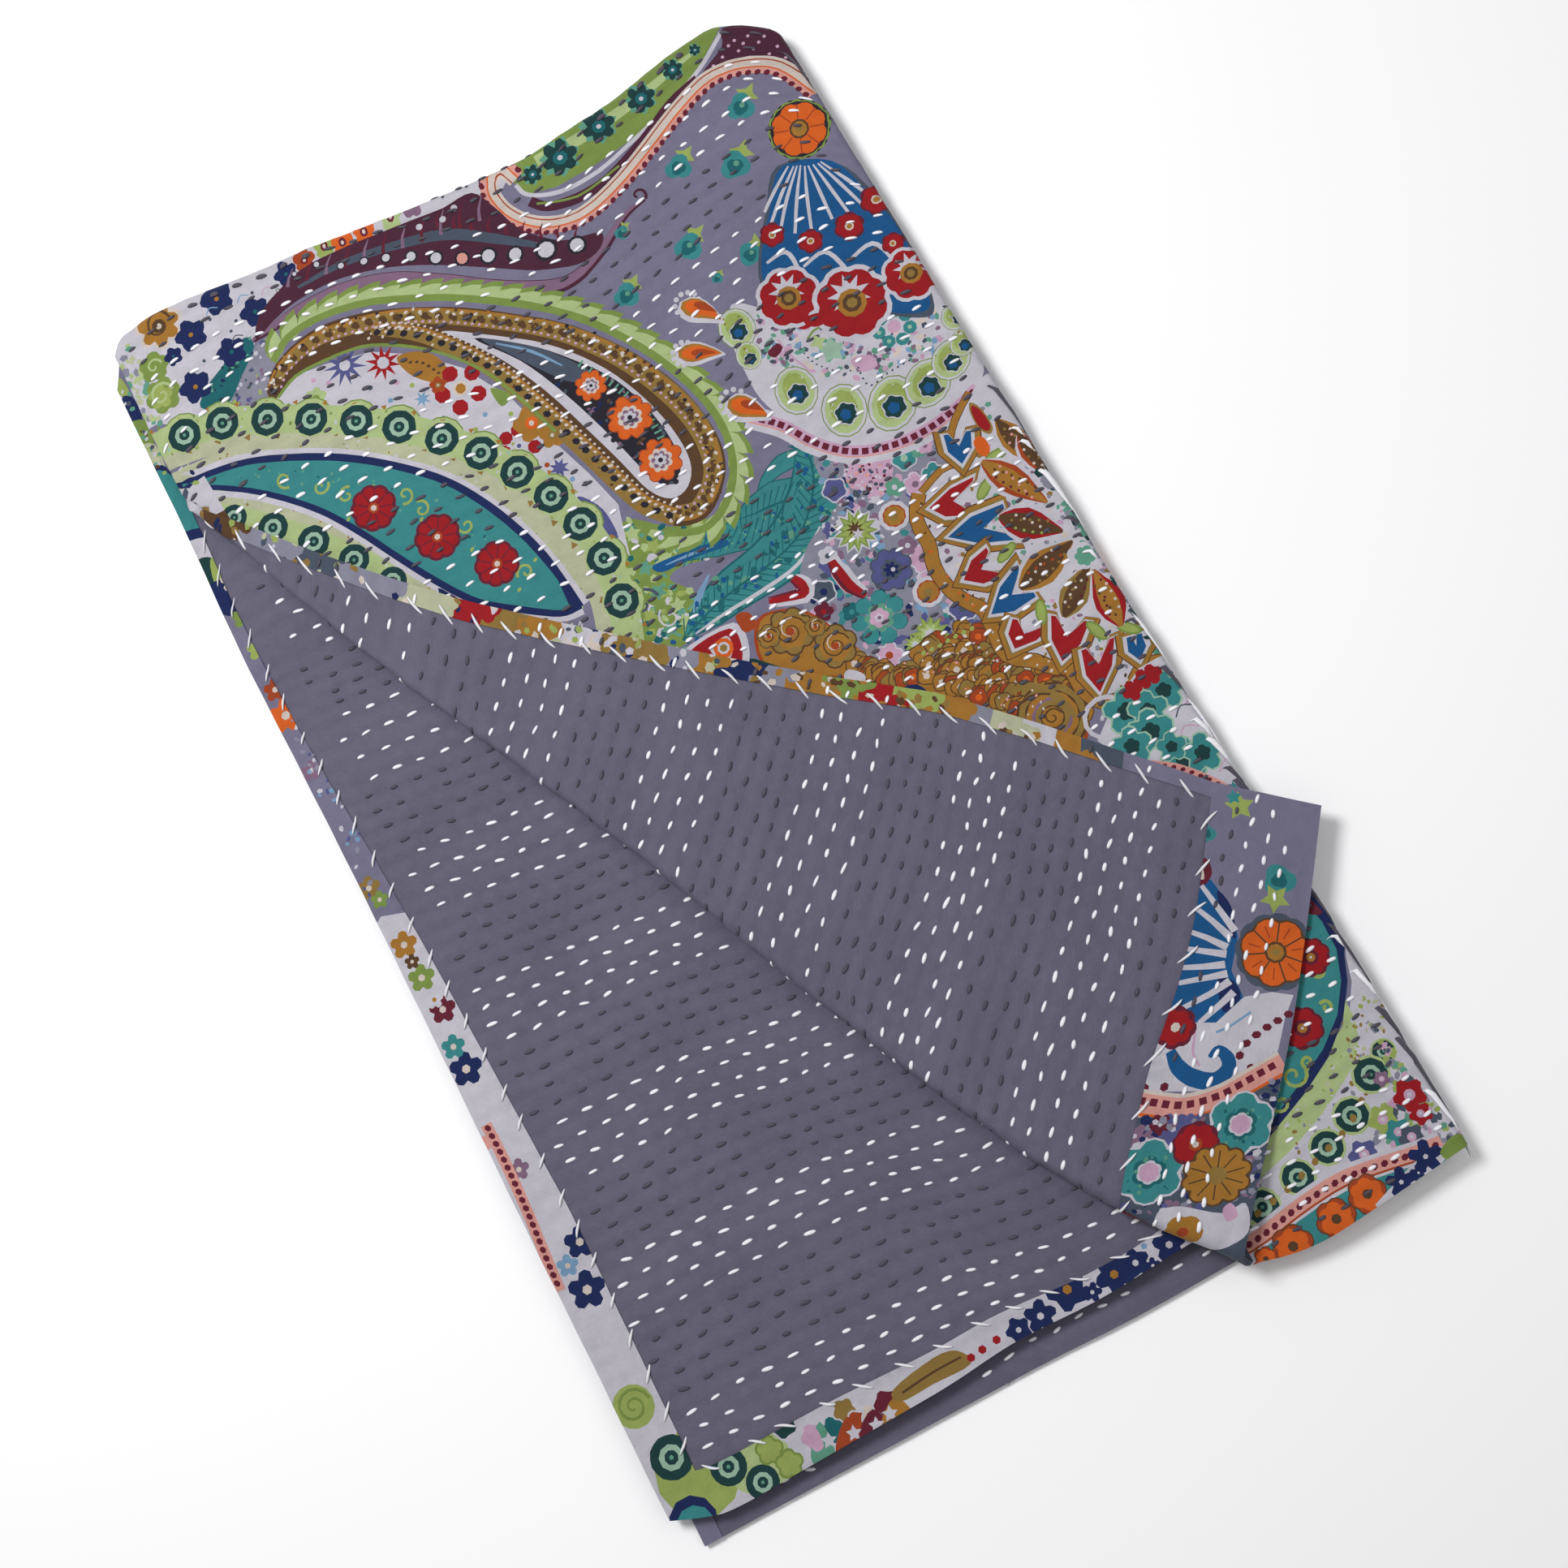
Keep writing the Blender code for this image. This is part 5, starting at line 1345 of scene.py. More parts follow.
def drawTurnedHem():  # the wide hem of the turned corner, drawn on the flat cloth
    drawing["on"] = "hem"
    for x, y, size in ((-113, -418, 10), (-135, -374, 6)):
        petals("teal", x, y, size, 3, 0.35, 0.5, 5)
        petals("deepTeal", x, y, size * 0.5, 3, 0.3, 1.2, 4)
    star("lime", -102, -417, 9, 5, 0.5)
    star("lime", -154, -391, 9, 5, 0.5, 0.4)
    star("teal", -159, -387, 5, 5, 0.5, 0.4)
    fill("blue", mmPairs(-110, -370, -108, -380, -94, -393, -77, -399, -57, -398, -42, -407, -26, -394, -26, -380,
        -26, -360, -47, -360, -63, -364, -81, -364, -95, -365))
    blob("navy", mmPairs(-102, -384, -94, -393, -76, -398, -83, -391))
    blob("navy", mmPairs(-51, -391, -51, -400, -42, -405, -33, -397))
    blob("wine", mmPairs(-118, -371, -120, -376, -112, -380, -104, -376, -108, -370))
    blob("cream", mmPairs(-113, -373, -113, -375, -108, -376, -108, -373))
    for path in (
        mmPairs(-80, -397, -91, -387, -104, -375), mmPairs(-76, -395, -84, -384, -92, -371), mmPairs(-70, -394, -74,
            -382, -77, -368), mmPairs(-66, -394, -66, -381, -66, -366),
        mmPairs(-60, -394, -57, -382, -54, -366), mmPairs(-55, -396, -51, -385, -46, -370), mmPairs(-51, -398, -42,
            -388, -32, -373), mmPairs(-45, -401, -35, -393, -26, -385),
    ):
        ribbon("white", path, [4.4, 3.4, 2.6], 3)
    fill("white", mmPairs(-26, -360, -26, -380, -27, -394, -43, -407, -48, -422, -48, -434, -34, -431, -17, -430, 0,
        -427, 8, -402, 10, -360, -4, -355))
    ribbon("blue", mmPairs(-11, -373, -3, -379, 2, -388, 3, -399, -3, -405, -9, -404, -13, -398, -9, -394), [5, 8,
        9, 9, 8, 7, 5, 2], 5)
    ribbon("petalPink", mmPairs(-21, -384, -11, -385, -4, -390), 1.4, 4)
    ribbon("sky", mmPairs(-22, -395, -26, -402, -35, -412), 1.4, 3)
    beads("wine", mmPairs(-15, -410, -25, -419, -37, -433), 2.8, 7.0)
    for x, y in mmPairs(8, -364, 7, -374, -11, -410, -5, -417):
        disc("wine", x, y, 2.4, 6)
    x, y = [(-23, -373)][0]
    petals("wine", x, y, 11.4, 8, 0.1)
    petals("red", x, y, 9.4, 7, 0.16)
    disc("cream", x, y, 2.6, 7)
    x, y = [(-71, -421)][0]
    petals("slate", x, y, 23, 12, 0.06)
    petals("brown", x, y, 20.6, 7, 0.1)
    petals("orange", x, y, 19.6, 7, 0.14)
    for k in range(7):
        a = 2 * math.pi * (k + 0.5) / 7
        ribbon("brown", [(x + 5 * math.cos(a), y + 5 * math.sin(a)), (x + 18 * math.cos(a), y + 18 * math.sin(a))],
            0.9, 1)
        ribbon("rust", [(x + 9 * math.cos(a + 0.4), y + 9 * math.sin(a + 0.4)), (x + 16 * math.cos(a + 0.4),
            y + 16 * math.sin(a + 0.4))], 0.8, 1)
    disc("brown", x, y, 6.4, 9)
    disc("ochre", x, y, 5, 8)
    disc("gold", x, y, 2.2, 6)
    band = mmPairs(16, -354, 18, -369, 19, -386, 14, -403, 6, -416, -8, -435)
    ribbon("cream", band, 18, 4)
    ribbon("pink", band, 10, 4, -2)
    ribbon("orange", band, 1.8, 4, 3.6)
    ribbon("rust", band, 0.8, 4, 6.6)
    beads("wine", band, 2.7, 6.4, -3.2, 4, 1.0)
    beads("rust", band, 1.2, 5.0, 7.5)
    fill("slate", mmPairs(24, -350, 22, -369, 23, -387, 18, -404, 11, -416, -5, -439, 48, -450, 107, -442, 124,
        -396, 115, -352))
    for (x, y), size, ink in (([(28, -371)][0], 8, "navy"), ([(28, -383)][0], 9, "violet"), ([(26, -376)][0], 6,
            "wine"), ([(32, -364)][0], 7, "mauve"), ([(25, -393)][0], 6, "violet")):
        petals(ink, x, y, size, 5, 0.4)
        disc("white", x, y, size * 0.2, 5)
    sprinkle(("violet", "white", "mauve", "grey", "navy"), mmPairs(26, -356, 24, -387, 14, -417, -2, -436, 45, -442,
        69, -423, 72, -393, 70, -357), 260, 2.4)
    for x, y, size in ((51, -375, 17.5), (25, -417, 17)):
        petals("white", x, y, size * 1.06, 6, 0.14)
        petals("teal", x, y, size, 6, 0.2)
        petals("deepTeal", x, y, size * 0.52, 6, 0.2)
        strew(("deepTeal", "seaGreen"), [(x, y), (x + 1, y)], size * 0.6, 18, 1.2)
        petals("white", x, y, size * 0.38, 6, 0.16)
        disc("petalPink", x, y, size * 0.30, 9)
    x, y = [(36, -396)][0]
    petals("wine", x, y, 12.4, 8, 0.08)
    petals("red", x, y, 11, 7, 0.14)
    disc("rust", x, y, 3.6, 7)
    disc("cream", x, y, 1.8, 6)
    x, y = [(53, -409)][0]
    petals("brown", x, y, 18, 10, 0.12)
    petals("ochre", x, y, 17, 10, 0.18)
    for k in range(10):
        a = 2 * math.pi * k / 10
        ribbon("brown", [(x + 4 * math.cos(a), y + 4 * math.sin(a)), (x + 14 * math.cos(a), y + 14 * math.sin(a))],
            0.8, 1)
    petals("gold", x, y, 5.4, 7, 0.2)
    blob("white", mmPairs(74, -382, 70, -393, 75, -414, 69, -425, 86, -428, 96, -415, 98, -395, 89, -384))
    x, y = [(85, -396)][0]
    petals("ochre", x, y, 10, 5, 0.14)
    disc("rust", x, y, 3, 7)
    blob("petalPink", mmPairs(73, -414, 69, -418, 76, -422, 80, -417))
    ribbon("wine", mmPairs(70, -359, 78, -367, 85, -377, 94, -384), [3, 8, 8, 4], 3)
    ribbon("red", mmPairs(74, -361, 79, -369, 86, -378), [2, 4, 2], 3)
    blob("navy", mmPairs(94, -374, 96, -386, 103, -395, 107, -383))
    blob("leaf", mmPairs(98, -400, 101, -417, 108, -427, 111, -409))

    # The narrow left hem of the top layer shows beside the printed side, in bits of colour
    line = curveThrough(mmPairs(-151, -322, -188, -200, -203, -45, -217, 86, -247, 300), 7)
    inksAlong = [str(ink) for ink in dice.choice(
        ["grey", "gold", "ochre", "lime", "leaf", "navy", "white", "slate", "straw", "red", "brown", "cream"],
            len(line))]
    edge = dice.uniform(-2.5, 2.5, len(line))
    for k, ink in enumerate(inksAlong[:-1]):
        (x0, y0), (x1, y1) = line[k], line[k + 1]
        fill(ink, [(x0 - 34, y0 - edge[k]), (x0 + 20, y0 + edge[k]), (x1 + 20, y1 + edge[k + 1]), (x1 - 34,
            y1 - edge[k + 1])])
    for k in range(1, len(line) - 1):
        petals(inksAlong[k], line[k][0] + 4 * edge[k], line[k][1] - 3, 9, 5, 0.3, k)
    strew(("white", "straw", "gold", "lime", "slate", "navy", "cream"), line[13:], 13, 150, 3.2)
    strew(("ochre", "cream", "brown", "gold"), line[1:13], 13, 150, 3.2)


def drawSecondHem():  # the near and left hems of the second layer, which lies face down
    drawing["on"] = "second"
    for ink, path in (  # upper end of the left hem, seen past the edge of the layer above
        ("lime", mmPairs(-261, 420, -250, 415, -251, 399, -266, 403)), ("navy", mmPairs(-263, 403, -249, 400, -250,
            380, -265, 382)), ("leaf", mmPairs(-265, 383, -248, 380, -251, 359, -265, 363)),
        ("straw", mmPairs(-265, 366, -249, 361, -251, 338, -265, 342)), ("navy", mmPairs(-264, 349, -249, 343, -247,
            312, -262, 314)), ("teal", mmPairs(-261, 340, -247, 333, -244, 278, -258, 284)),
        ("navy", mmPairs(-261, 296, -242, 290, -243, 277, -259, 283)), ("white", mmPairs(-261, 288, -241, 281, -243,
            260, -260, 266)), ("bottle", mmPairs(-260, 273, -248, 270, -248, 249, -260, 252)),
        ("lime", mmPairs(-250, 270, -239, 266, -242, 243, -254, 248)), ("navy", mmPairs(-258, 254, -244, 250, -245,
            228, -258, 232)),
    ):
        blob(ink, path)
    sprinkle(("lime", "white", "brown", "slate", "seaGreen"), mmPairs(-261, 420, -250, 415, -249, 361, -251, 338,
        -266, 344, -265, 382), 70, 1.9)
    fill("white", mmPairs(-252, 3, -227, -6, -225, -150, -221, -321, -220, -412, -253, -431, -273, -323, -278, -109,
        -277, -12))
    fill("white", mmPairs(-259, -423, -195, -363, -143, -369, -79, -371, -13, -369, 124, -374, 125, -426, -13, -426,
        -171, -421, -250, -427))
    for (x, y), size, ink in (
        ([(-239, -261)][0], 12, "navy"), ([(-230, -234)][0], 10, "navy"), ([(-243, -243)][0], 7, "sky"), ([(-246,
            -108)][0], 11, "navy"),
        ([(-247, -92)][0], 8, "teal"), ([(-243, -68)][0], 9, "wine"), ([(-246, -44)][0], 9, "leaf"), ([(-247,
            -20)][0], 9, "ochre"),
        ([(-247, -32)][0], 5, "brown"), ([(-251, 23)][0], 8, "gold"), ([(-250, 150)][0], 12, "orange"), ([(-248,
            13)][0], 6, "leaf"),
        ([(-245, -60)][0], 6, "white"), ([(-251, 109)][0], 7, "mauve"), ([(-252, -154)][0], 6, "pink"), ([(-244,
            -178)][0], 7, "mauve"),
        ([(-249, 169)][0], 8, "rust"), ([(-247, 199)][0], 8, "lime"), ([(-247, 224)][0], 8, "leaf"), ([(-243,
            250)][0], 8, "cream"),
    ):
        petals(ink, x, y, size, 5, 0.35)
        disc("cream" if ink != "white" else "ochre", x, y, size * 0.26, 6)
    sprinkle(("grey", "sky", "violet", "white"), mmPairs(-251, 140, -229, 133, -236, 23, -254, 22), 60, 2.2)
    trail = mmPairs(-250, -144, -250, -190, -254, -254)
    ribbon("pink", trail, 7, 4)
    beads("wine", trail, 2.4, 5.4)
    disc("lime", -245, -334, 13, 14)
    swirl("leaf", -245, -334, 11, 1.8, 2)
    disc("lime", -228, -385, 26, 12)
    disc("paleLime", -193, -395, 20, 12)
    for x, y, size in ((-238, -370, 13), (-210, -390, 11), (-196, -407, 10)):
        ringDot(x, y, size)
    disc("navy", -243, -408, 15, 10)
    disc("teal", -243, -411, 12, 10)
    for x, y in [(-184, -393), (-177, -405)]:
        petals("leaf", x, y, 9, 5, 0.2)
        petals("lime", x, y, 7.5, 5, 0.25)
    for (x, y), size, ink in (
        ([(-170, -384)][0], 8, "bottle"), ([(-157, -398)][0], 8, "petalPink"), ([(-144, -400)][0], 8, "deepTeal"),
            ([(-134, -393)][0], 7, "gold"),
        ([(-130, -404)][0], 8, "rust"), ([(-120, -403)][0], 7, "cream"), ([(-110, -401)][0], 8, "wine"),
    ):
        petals("white", x, y, size * 1.15, 5, 0.3, size)
        petals(ink, x, y, size, 5, 0.35, size)
    for path, ink in (
        (mmPairs(-164, -407, -150, -392, -150, -412, -161, -417), "seaGreen"), (mmPairs(-150, -412, -134, -397,
            -130, -415, -139, -422), "rust"),
        (mmPairs(-133, -410, -119, -400, -114, -415, -125, -422), "wine"), (mmPairs(-120, -412, -105, -400, -99,
            -413, -111, -420), "ochre"),
        (mmPairs(-161, -398, -154, -394, -154, -405, -160, -406), "petalPink"),
    ):
        blob(ink, path)
    for x, y in mmPairs(-150, -404, -135, -407, -121, -409, -111, -407):
        star("white", x, y, 5, 5, 0.5)
    blob("gold", mmPairs(-103, -396, -73, -391, -59, -394, -56, -404, -81, -404, -102, -404))
    ribbon("brown", mmPairs(-99, -400, -77, -398, -59, -398), 1.4, 3)
    for x, y in mmPairs(-46, -400, -36, -399, -54, -401):
        disc("red", x, y, 2.6, 6)
    for (x, y), size in (([(14, -393)][0], 13), ([(-7, -399)][0], 10), ([(-22, -400)][0], 8), ([(42, -398)][0], 12),
            ([(56, -398)][0], 9), ([(78, -398)][0], 10), ([(26, -401)][0], 6), ([(64, -404)][0], 5)):
        petals("navy", x, y, size, 5, 0.5, size)
        disc("ochre" if size > 11 else "white", x, y, size * 0.22, 6)
    for x, y in mmPairs(65, -392, 44, -388, 93, -399):
        disc("sky", x, y, 2, 5)


def drawUnderside():  # the same flowers in a plainer layout where the print faces the table
    drawing["on"] = "hem"
    inks = ("orange", "red", "teal", "ochre", "navy", "lime")
    spots = [(x + 42 * (row % 2), y) for row, y in enumerate(range(470, 1250, 78)) for x in range(-205, 240, 84)]
    for k, (x, y) in enumerate(spots):
        ink = inks[(k * 5 + k // 6) % 6]
        if k % 3 == 0:
            drop("white", x, y, 60, 30, 1.1 * k, 0.3)
            drop(ink, x, y, 56, 25, 1.1 * k, 0.3)
            disc("cream", x, y, 5, 7)
        else:
            petals("white", x, y, 22, 7, 0.14, k)
            petals(ink, x, y, 20, 7, 0.2, k)
            disc("brown", x, y, 6, 7)


drawFarEdge()
drawFeather()
drawBuds()
drawTealFeather()
drawWhiteField()
drawPaisley()
drawRingBand()
drawLeaf()
drawCluster()
drawMedallion()
drawFan()
drawDrops()
drawGold()
drawLotus()
drawRightEnd()
drawCorner()
drawTurnedHem()
drawSecondHem()
drawUnderside()
for sheet, toFlat in sheetOf.items():  # laid out flat, a sheet at a time
    mine = [k for k, shape in enumerate(shapes) if shape[2] == sheet]
    ends = np.cumsum([len(shapes[k][0]) for k in mine])
    for k, flat in zip(mine, np.split(toFlat(np.concatenate([shapes[k][0] for k in mine])), ends[:-1])):
        shapes[k] = (flat, shapes[k][1], sheet)
print("print drawn:", len(shapes), "shapes,", sum(len(s[0]) for s in shapes), "corners")


def linear(code):
    parts = [int(code[i : i + 2], 16) / 255 for i in (0, 2, 4)]
    return [c / 12.92 if c <= 0.04045 else ((c + 0.055) / 1.055) ** 2.4 for c in parts]


def setRelief(piece, xy):  # 1 between the rows of stitches, 0 along them; the cloth colour is darkened by it along the rows as painted shade in the stitch valleys
    relief = 0.5 - 0.5 * np.cos(2 * math.pi * rowAt(xy[:, 0], xy[:, 1]))
    layer = piece.data.attributes.new("relief", "FLOAT", "POINT")
    layer.data.foreach_set("value", (relief ** 0.6).astype(np.float32))


# Printed cotton: spacing of the mesh where it shows and elsewhere, in metres
printSizes = dict(shown=0.0060, hem=0.0075, hidden=0.022, lineFine=0.0080, lineCoarse=0.022)


def shownForPrint(x, y):
    return whereShown(x, y)[0] > 0.02


def nearHem(x, y):
    left = np.interp(y, *np.array(edges["leftShift"], float).T / 1000)
    fromLeft = x - pack["leftTop"] - left * (y < farStart - 0.02)
    near = (y < pack["near"] + 0.10) & (y > pack["near"])
    side = (np.minimum(fromLeft, secondEdge - x) < 0.034) & (y < farStart)
    return near | side


lines = foldLines(printSizes["lineFine"], printSizes["lineCoarse"])
points = np.concatenate([
    scatter(printSizes["shown"], shownForPrint),
    scatter(printSizes["hem"], lambda x, y: nearHem(x, y) & ~shownForPrint(x, y)),
    scatter(printSizes["hidden"], lambda x, y: ~nearHem(x, y) & ~shownForPrint(x, y)),
])
inkNames = list(inkTable)
flatPoints, triangles, zones, inks = triangulate(
    lines, points, [shape[0] for shape in shapes], printSizes["lineFine"], printSizes["lineCoarse"],
    np.array([inkNames.index(shape[1]) for shape in shapes]),
)
print("printed cotton:", len(flatPoints), "points,", len(triangles), "triangles flat")

depths = np.array((0, pack["printPly"], hemDepth - pack["printPly"], hemDepth))
inner, fold = zones <= 2, (zones == 1) | (zones == 2)
thinInner = coarser(flatPoints, triangles[inner], lines, printSizes["hidden"] / 2)
thinFold = coarser(flatPoints, triangles[fold], lines, printSizes["hidden"] / 2)
vertexOf, levelOf, faces, source = closedShell(
    flatPoints, triangles, depths, [np.ones(len(zones), bool), zones == 3, zones >= 1],
    ((1, inner, thinInner), (2, fold, thinFold)),
)
xy = flatPoints[vertexOf]
shows, greyShows = whereShown(xy[:, 0], xy[:, 1])
depth = depths[levelOf] - np.where(levelOf == 0, pucker(xy[:, 0], xy[:, 1]) * shows, 0)
printCloth = newPiece("printed_cotton_front", place(xy[:, 0], xy[:, 1], depth), faces)
table = np.array([linear(inkTable[shape[1]]) + [1] for shape in shapes] + [linear(inkTable["ground"]) + [1]])
colour = printCloth.data.color_attributes.new("ink", "FLOAT_COLOR", "CORNER")
colour.data.foreach_set("color", np.repeat(table[np.append(inks, -1)[source]], 3, axis=0).astype(np.float32).ravel())
setMap(printCloth, "flat", xy[faces.ravel()])
setRelief(printCloth, xy)
smoothByAngle(printCloth, 50)
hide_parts("quilt_front")
print("printed cotton made:", len(faces), "triangles")

# Grey backing: a plain cloth inside the hems, with the same gathers
greySizes = dict(shown=0.0037, hidden=0.024, lineFine=0.0060, lineCoarse=0.024)


def shownForGrey(x, y):
    near = (y > patternEnd - 0.065) & (x < rightStart)
    return (whereShown(x, y)[1] > 0.02) | near


lines = foldLines(greySizes["lineFine"], greySizes["lineCoarse"])
points = np.concatenate([
    scatter(greySizes["shown"], shownForGrey),
    scatter(greySizes["hidden"], lambda x, y: ~shownForGrey(x, y)),
])
flatPoints, triangles, zones, inks = triangulate(lines, points, [], greySizes["lineFine"], greySizes["lineCoarse"])
kept = zones <= 1
depths = np.array((pack["printPly"] + pack["plyGap"], sheetDepth))
vertexOf, levelOf, faces, source = closedShell(flatPoints, triangles, depths, [kept])
xy = flatPoints[vertexOf]
shows, greyShows = whereShown(xy[:, 0], xy[:, 1])
band = ease((xy[:, 1] - patternEnd + 0.06) / 0.02) * (xy[:, 0] < rightStart)
depth = depths[levelOf] + np.where(levelOf == 1, pucker(xy[:, 0], xy[:, 1]) * np.maximum(greyShows, band), 0)
greyCloth = newPiece("grey_backing_cotton", place(xy[:, 0], xy[:, 1], depth), faces)
setMap(greyCloth, "flat", xy[faces.ravel()])
setRelief(greyCloth, xy)
smoothByAngle(greyCloth, 50)
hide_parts("quilt_backing")
print("grey backing made:", len(faces), "triangles")


# Sewing: every stitch is a short thread that dips into the cloth at both ends
stitchSizes = dict(
    pitch=(0.0142, 0.0168, 0.0172), length=0.51, width=0.0024, height=0.0013, missing=0.04,
    whipThick=0.0018, whipLift=0.0009, margin=0.0045,
)


def rowLine(x, row):  # where a row of stitches crosses this x
    y = (row - 8) * rows["pitch"] * np.ones_like(x)
    for step in range(14):
        y = y + (row - rowAt(x, y)) * rows["pitch"]
    return y


def inLoop(x, y, inX, inY):
    return insideOf(loopPoints(inX, inY, 0.02, 0.03), np.stack([x, y], axis=1))


def runningPlaces(low, high, firstRow, lastRow, top):  # middles of the stitches of many rows
    near, far, second = stitchSizes["pitch"]
    xs, numbers, pitches = [], [], []
    for row in range(firstRow, lastRow + 1):
        pitch = near + (far - near) * ease((row - 6) / 10) if top else second
        count = int((high - low) / pitch)
        drift = np.cumsum(dice.normal(0, 0.0005, count))
        spots = low + dice.uniform(0, pitch) + pitch * np.arange(count) + drift
        spots = spots[dice.random(count) > stitchSizes["missing"]]
        xs.append(spots)
        numbers.append(np.full(len(spots), row))
        pitches.append(np.full(len(spots), pitch))
    x, row, pitch = (np.concatenate(found) for found in (xs, numbers, pitches))
    keep = (x > low) & (x < high)
    return x[keep], row[keep].astype(float), pitch[keep]


def capsules(middles, halfWide, halfHigh, sides=6):
    # Middles are (stitch, ring, xyz of flat place and height), the rings narrow to each end
    count, rings = middles.shape[:2]
    along = middles[:, -1, :2] - middles[:, 0, :2]
    along /= np.linalg.norm(along, axis=1)[:, None]
    across = np.stack([-along[:, 1], along[:, 0]], axis=1)
    turn = np.linspace(0, 2 * math.pi, sides, endpoint=False)
    share = np.linspace(-1, 1, rings)[1:-1]
    thick = (1 - np.abs(share) ** 1.8) ** 0.62
    ring = middles[:, 1:-1, None, :] + np.zeros((1, 1, sides, 1))
    wide = (halfWide[:, None] * thick)[:, :, None] * np.cos(turn)
    ring[..., :2] += wide[..., None] * across[:, None, None, :]
    ring[..., 2] += (halfHigh[:, None] * thick)[:, :, None] * np.sin(turn)
    points = np.concatenate([middles[:, :1, :], ring.reshape(count, -1, 3), middles[:, -1:, :]], axis=1)
    inner = rings - 2
    faces = []
    for j in range(sides):
        k = (j + 1) % sides
        faces.append((0, 1 + k, 1 + j))
        for i in range(inner - 1):
            a, b = 1 + i * sides, 1 + (i + 1) * sides
            faces += [(a + j, a + k, b + k), (a + j, b + k, b + j)]
        last = 1 + (inner - 1) * sides
        faces.append((last + j, last + k, 1 + inner * sides))
    step = points.shape[1]
    faces = np.array(faces)[None] + step * np.arange(count)[:, None, None]
    return points.reshape(-1, 3), faces.reshape(-1, 3)


def onCloth(points, side):  # flat places with a height above the cloth to the folded pack
    x, y, height = points.T
    shows, greyShows = whereShown(x, y)
    band = ease((y - patternEnd + 0.06) / 0.02) * (x < rightStart)
    relief = pucker(x, y)
    if side == "hem":
        return place(x, y, hemDepth + height)
    if side == "grey":
        return place(x, y, sheetDepth + relief * np.maximum(greyShows, band) + height)
    return place(x, y, -relief * shows - height)


def runningStitches(x, row, pitch, side):
    count = len(x)
    size = stitchSizes["length"] * pitch * dice.uniform(0.8, 1.15, count)
    share = np.linspace(-1, 1, 5)
    tilt = dice.normal(0, 0.0004, count)
    aside = dice.normal(0, 0.0006, count)
    px = x[:, None] + 0.5 * size[:, None] * share
    py = rowLine(px, row[:, None]) + aside[:, None] + tilt[:, None] * share
    lift = 0.00042 - 0.0009 * np.abs(share) ** 3
    middles = np.stack([px, py, np.broadcast_to(lift, px.shape)], axis=2)
    wide = 0.5 * stitchSizes["width"] * dice.uniform(0.85, 1.15, count)
    points, faces = capsules(middles, wide, np.full(count, 0.5 * stitchSizes["height"]))
    return onCloth(points, side), faces


def joined(parts):
    base, allPoints, allFaces = 0, [], []
    for points, faces in parts:
        allPoints.append(points)
        allFaces.append(faces + base)
        base += len(points)
    return np.concatenate(allPoints), np.concatenate(allFaces)


def facedOut(points, faces):  # each small closed thread with its faces outwards
    a, b, c = (points[faces[:, k]] for k in range(3))
    outward = (a * np.cross(b, c)).sum(axis=1)
    return faces if outward.sum() > 0 else faces[:, ::-1]


white, dark = [], []
margin = stitchSizes["margin"]
x, row, pitch = runningPlaces(pack["leftTop"], rightEnd + 0.004, -45, 110, True)
y = rowLine(x, row)
past, inner = flapOver(x, y)
turned = (x < rightStart) & (y < farStart)
onPrint = inLoop(x, y, margin + 0.003, margin) & (~turned | (past < 0.004))
onFlap = turned & (past > 0.004) & inLoop(x, y, hemLines["side"] + margin, hemLines["near"] + margin)
lowest = (y > patternEnd - 0.060) & (y < patternEnd - 0.010) & (x < rightStart - 0.02) & (x > pack["leftTop"] + 0.02)
onHem = turned & (past > 0.010) & ~inLoop(x, y, hemLines["side"] - margin, hemLines["near"] - margin) & inLoop(x, y,
    0.008, 0.008)
whiteRow = np.mod(row, rows["period"]) < rows["whiteRows"]
for mask, side in ((onPrint, "print"), (onFlap, "grey"), (lowest, "grey"), (onHem, "hem")):
    for group, bag in ((whiteRow, white), (~whiteRow, dark)):
        bag.append(runningStitches(*(found[mask & group] for found in (x, row, pitch)), side))
x, row, pitch = runningPlaces(rightEnd + 0.004, secondEdge - 0.02, -45, 45, False)
y = rowLine(x, row)
shown = (whereShown(x, y)[1] > 0.5) & inLoop(x, y, hemLines["side"] + margin, hemLines["near"] + margin)
whiteRow = np.mod(row, rows["period"]) < rows["whiteRows"]
for group, bag in ((whiteRow, white), (~whiteRow, dark)):
    bag.append(runningStitches(*(found[shown & group] for found in (x, row, pitch)), "grey"))

# Whip stitches over the inner edges of the hems: the edge they follow, their step along
# it, and how far each reaches along and across
whips = dict(
    flapSide=dict(step=0.0235, along=0.0135, across=0.0088),
    flapNear=dict(step=0.027, along=0.0130, across=0.0085),
    secondNear=dict(step=0.025, along=0.0123, across=0.0066),
    secondSide=dict(step=0.024, along=0.0100, across=0.0075),
)


